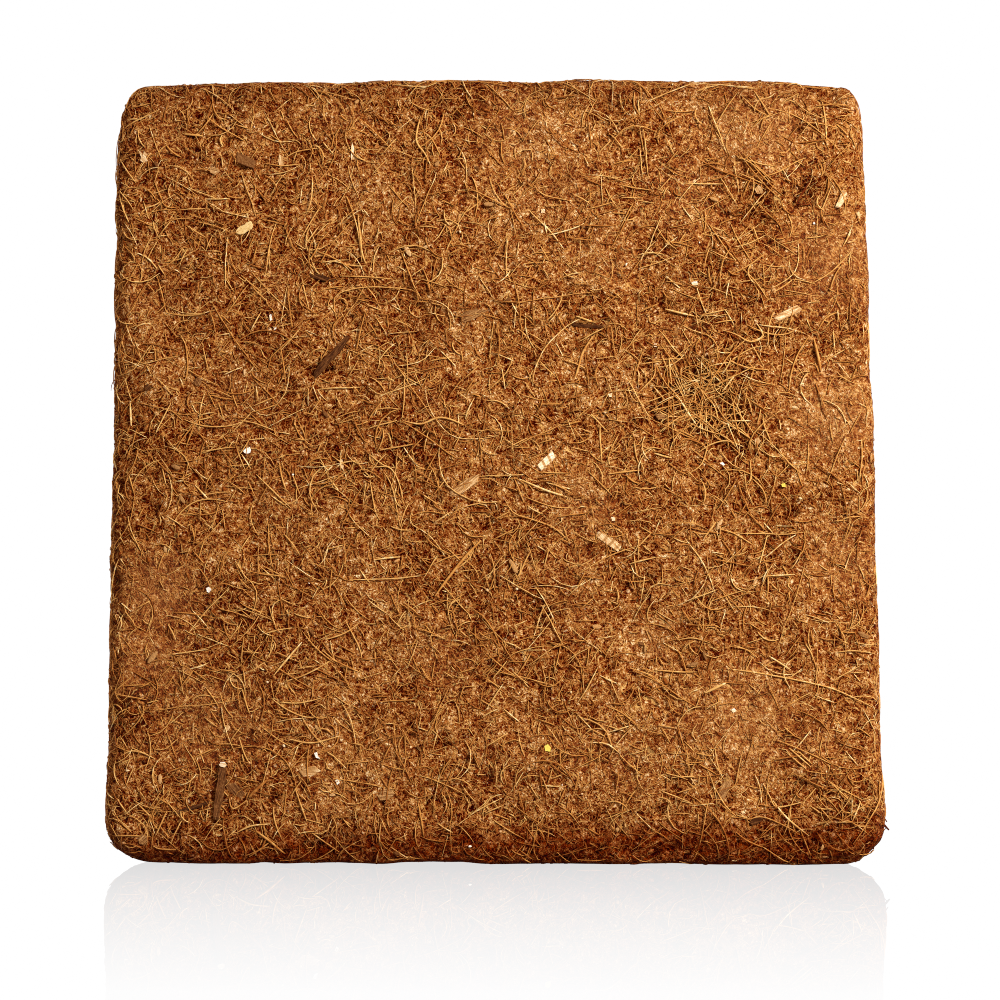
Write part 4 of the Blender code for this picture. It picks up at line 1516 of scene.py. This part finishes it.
# closed slabs with a sunk foot, a wide ring and a smaller, uneven top
def makeChips(name, rings, material):
    points, faces = [], []
    marks = {key: [] for key in chipMarks}
    byChip, byCorner, byRing = chipShape["shake"]
    for number, (chip, (raised, tint, ring)) in enumerate(rings.items()):
        centre = sum(ring, Vector()) / len(ring)
        normal, count, start = skinTree.find_nearest(centre)[1], len(ring), len(points)
        longest = max(((a - b) for a in ring for b in ring), key=lambda step: step.length).normalized()
        sideways = normal.cross(longest).normalized()
        around = zip(ring, ring[1:] + ring[:1])
        if sum((a - centre).cross(b - centre).dot(normal) for a, b in around) < 0:
            ring.reverse()
        top = raised * mm - chipShape["bed"]
        shoulder = raised * mm * chipShape["shoulder"] - chipShape["bed"]
        for level, share, jitter in ((-chipShape["sunk"], chipShape["footShare"], 0.0),
                                     (shoulder, 1.0, chipShape["jitter"]),
                                     (top, chipShape["topShare"], chipShape["jitter"])):
            for index, point in enumerate(ring):
                shake = noise.noise(Vector((number * byChip, index * byCorner, share * byRing)))
                lift = level + jitter * shake * raised * mm
                points.append(centre + (point - centre) * share + normal * lift)
        points += [centre - normal * chipShape["sunk"], centre + normal * (top - chipShape["dish"])]
        for index in range(count):
            after = (index + 1) % count
            for low in (start, start + count):
                faces.append((low + index, low + after, low + count + after, low + count + index))
            faces.append((start + 2 * count + index, start + 2 * count + after, start + 3 * count + 1))
            faces.append((start + after, start + index, start + 3 * count))
        style = {"tint": tint, "streaks": 1.0, "bands": 0.0, "yellow": 0.0, **chipStyles.get(chip, {})}
        for point in points[start:]:
            marks["along"].append((point - centre).dot(longest) / mm)
            marks["across"].append((point - centre).dot(sideways) / mm + number * chipShape["streakStep"])
            for key, value in style.items():
                marks[key].append(value)
    data = bpy.data.meshes.new(name)
    data.from_pydata(points, [], faces)
    for key, values in marks.items():
        setAttribute(data, key, values)
    data.materials.append(material)
    print(name, len(faces), "faces")
    return newObject(name, data)


placedLay = {
    "Width Share": 0.40,
    "Point Spacing": 1.6 * mm, "Waver": 0.0, "Waver Size": waver(10 * mm), "Depth Low": -0.05 * mm,
    "Depth High": 0.12 * mm, "Bow": 0.2 * mm, "End Dip": 0.4 * mm, "Thickness": 0.3 * mm, "Sides": 5,
    "Seed": 71,
}
freeLay = {"Root Share": 0.5, "Tip Loss": 0.3, "Point Spacing": 1 * mm, "Sides": 4}

pieces = []
grainTree = crumbTree()
for layers, tree, carrier, finish in ((fibreLayers, scatteredFibreTree(), skin, "fibre"),
                                      (crumbLayers, grainTree, roughBody, "crumb"),
                                      (flakeLayers, grainTree, skin, "chip")):
    for name, settings in layers.items():
        pieces.append(growPiece(name, tree, carrier, {**settings, "Material": materials[finish]}))
print("scattered pieces done")

carrier = courseCarrier("frontCourses", frontFibres, onSkin)
pieces.append(growPiece("front_fibres", placedFibreTree(), carrier,
                        {**placedLay, "Skin": skin, "Material": materials["fibre"]}))
carrier = courseCarrier("hairCourses", edgeHairs, besideBale)
pieces.append(growPiece("edge_hairs", freeFibreTree(), carrier, {**freeLay, "Material": materials["fibre"]}))
frontRings = {chip: (raised, tint, coursePoints(outline, onSkin))
              for chip, (raised, tint, outline) in frontChips.items()}
pieces.append(makeChips("husk_chips", frontRings, materials["chip"]))
pieces.append(makeChips("hidden_side_chips", hiddenChipRings(), materials["chip"]))
print("placed pieces done")


# floor, room and lights

stageSettings = {
    "floorSize": 8.0,
    "gloss": (0.28, 0.02),      # share mirrored right at the bale's foot, and far in front of it
    "fadeLength": 0.42,
    "ambient": (0.30, 0.178, 0.108, 1.0),
    "bounce": (0.27, 0.158, 0.09, 1.0),
}
lamps = {
    # name: (place, aimed at, size, watts)
    "keyLamp": ((0.85, -1.0, 0.68), (0.0, -0.06, 0.14), 0.36, 31.2),
    "leftFill": ((-1.3, -1.3, 0.9), (0.0, -0.06, 0.15), 1.0, 0.8),
    "topLamp": ((0.1, 0.9, 1.4), (0.0, 0.0, 0.2), 1.0, 1.5),
    "backLamp": ((-1.1, 1.0, 0.75), (0.0, 0.06, 0.15), 0.4, 30.0),
    "backFill": ((1.2, 1.0, 0.5), (0.0, 0.06, 0.15), 0.9, 10.0),
}


def emptyTree(owner):
    owner.use_nodes = True
    owner.node_tree.nodes.clear()
    return owner.node_tree


# white to the camera, warm and dim to the bale, with a reflection that fades to the front
def makeFloor():
    data = bpy.data.meshes.new("floor")
    half = stageSettings["floorSize"] / 2
    corners = [(-half, -half, 0), (half, -half, 0), (half, half, 0), (-half, half, 0)]
    data.from_pydata(corners, [], [(0, 1, 2, 3)])
    floor = newObject("floor", data)
    material = bpy.data.materials.new("floor")
    tree = emptyTree(material)
    forward = separated(tree, addNode(tree, "ShaderNodeTexCoord").outputs["Object"])[1]
    ahead = maths(tree, "SUBTRACT", boxLow.y, forward)
    gloss = remap(tree, ahead, 0.0, stageSettings["fadeLength"], *stageSettings["gloss"], "LINEAR")
    seen = addNode(tree, "ShaderNodeLightPath").outputs["Is Camera Ray"]
    shine = mixColour(tree, seen, stageSettings["bounce"], white)
    glow = made(tree, "ShaderNodeEmission", {"Color": shine, "Strength": 1.0})
    mirror = made(tree, "ShaderNodeBsdfGlossy", {"Color": white, "Roughness": 0.0})
    both = made(tree, "ShaderNodeMixShader", {0: gloss, 1: glow, 2: mirror})
    addNode(tree, "ShaderNodeOutputMaterial", {"Surface": both})
    data.materials.append(material)


def makeRoom():
    world = bpy.data.worlds.new("white studio")
    bpy.context.scene.world = world
    tree = emptyTree(world)
    path = addNode(tree, "ShaderNodeLightPath").outputs
    seen = maths(tree, "MAXIMUM", path["Is Camera Ray"], path["Is Glossy Ray"])
    shine = mixColour(tree, seen, stageSettings["ambient"], white)
    background = made(tree, "ShaderNodeBackground", {"Color": shine, "Strength": 1.0})
    addNode(tree, "ShaderNodeOutputWorld", {"Surface": background})


def makeLamps():
    for name, (place, target, size, watts) in lamps.items():
        data = bpy.data.lights.new(name, "AREA")
        data.size = size
        data.energy = watts
        lamp = newObject(name, data)
        lamp.location = place
        lamp.rotation_euler = (Vector(target) - Vector(place)).to_track_quat("-Z", "Y").to_euler()
        lamp.visible_camera = False
        lamp.visible_glossy = False


makeFloor()
makeRoom()
makeLamps()
print("stage done")

finishPiece(roughBody, stands=bale)
for piece in pieces:
    finishPiece(piece)
bpy.data.objects.remove(skin)
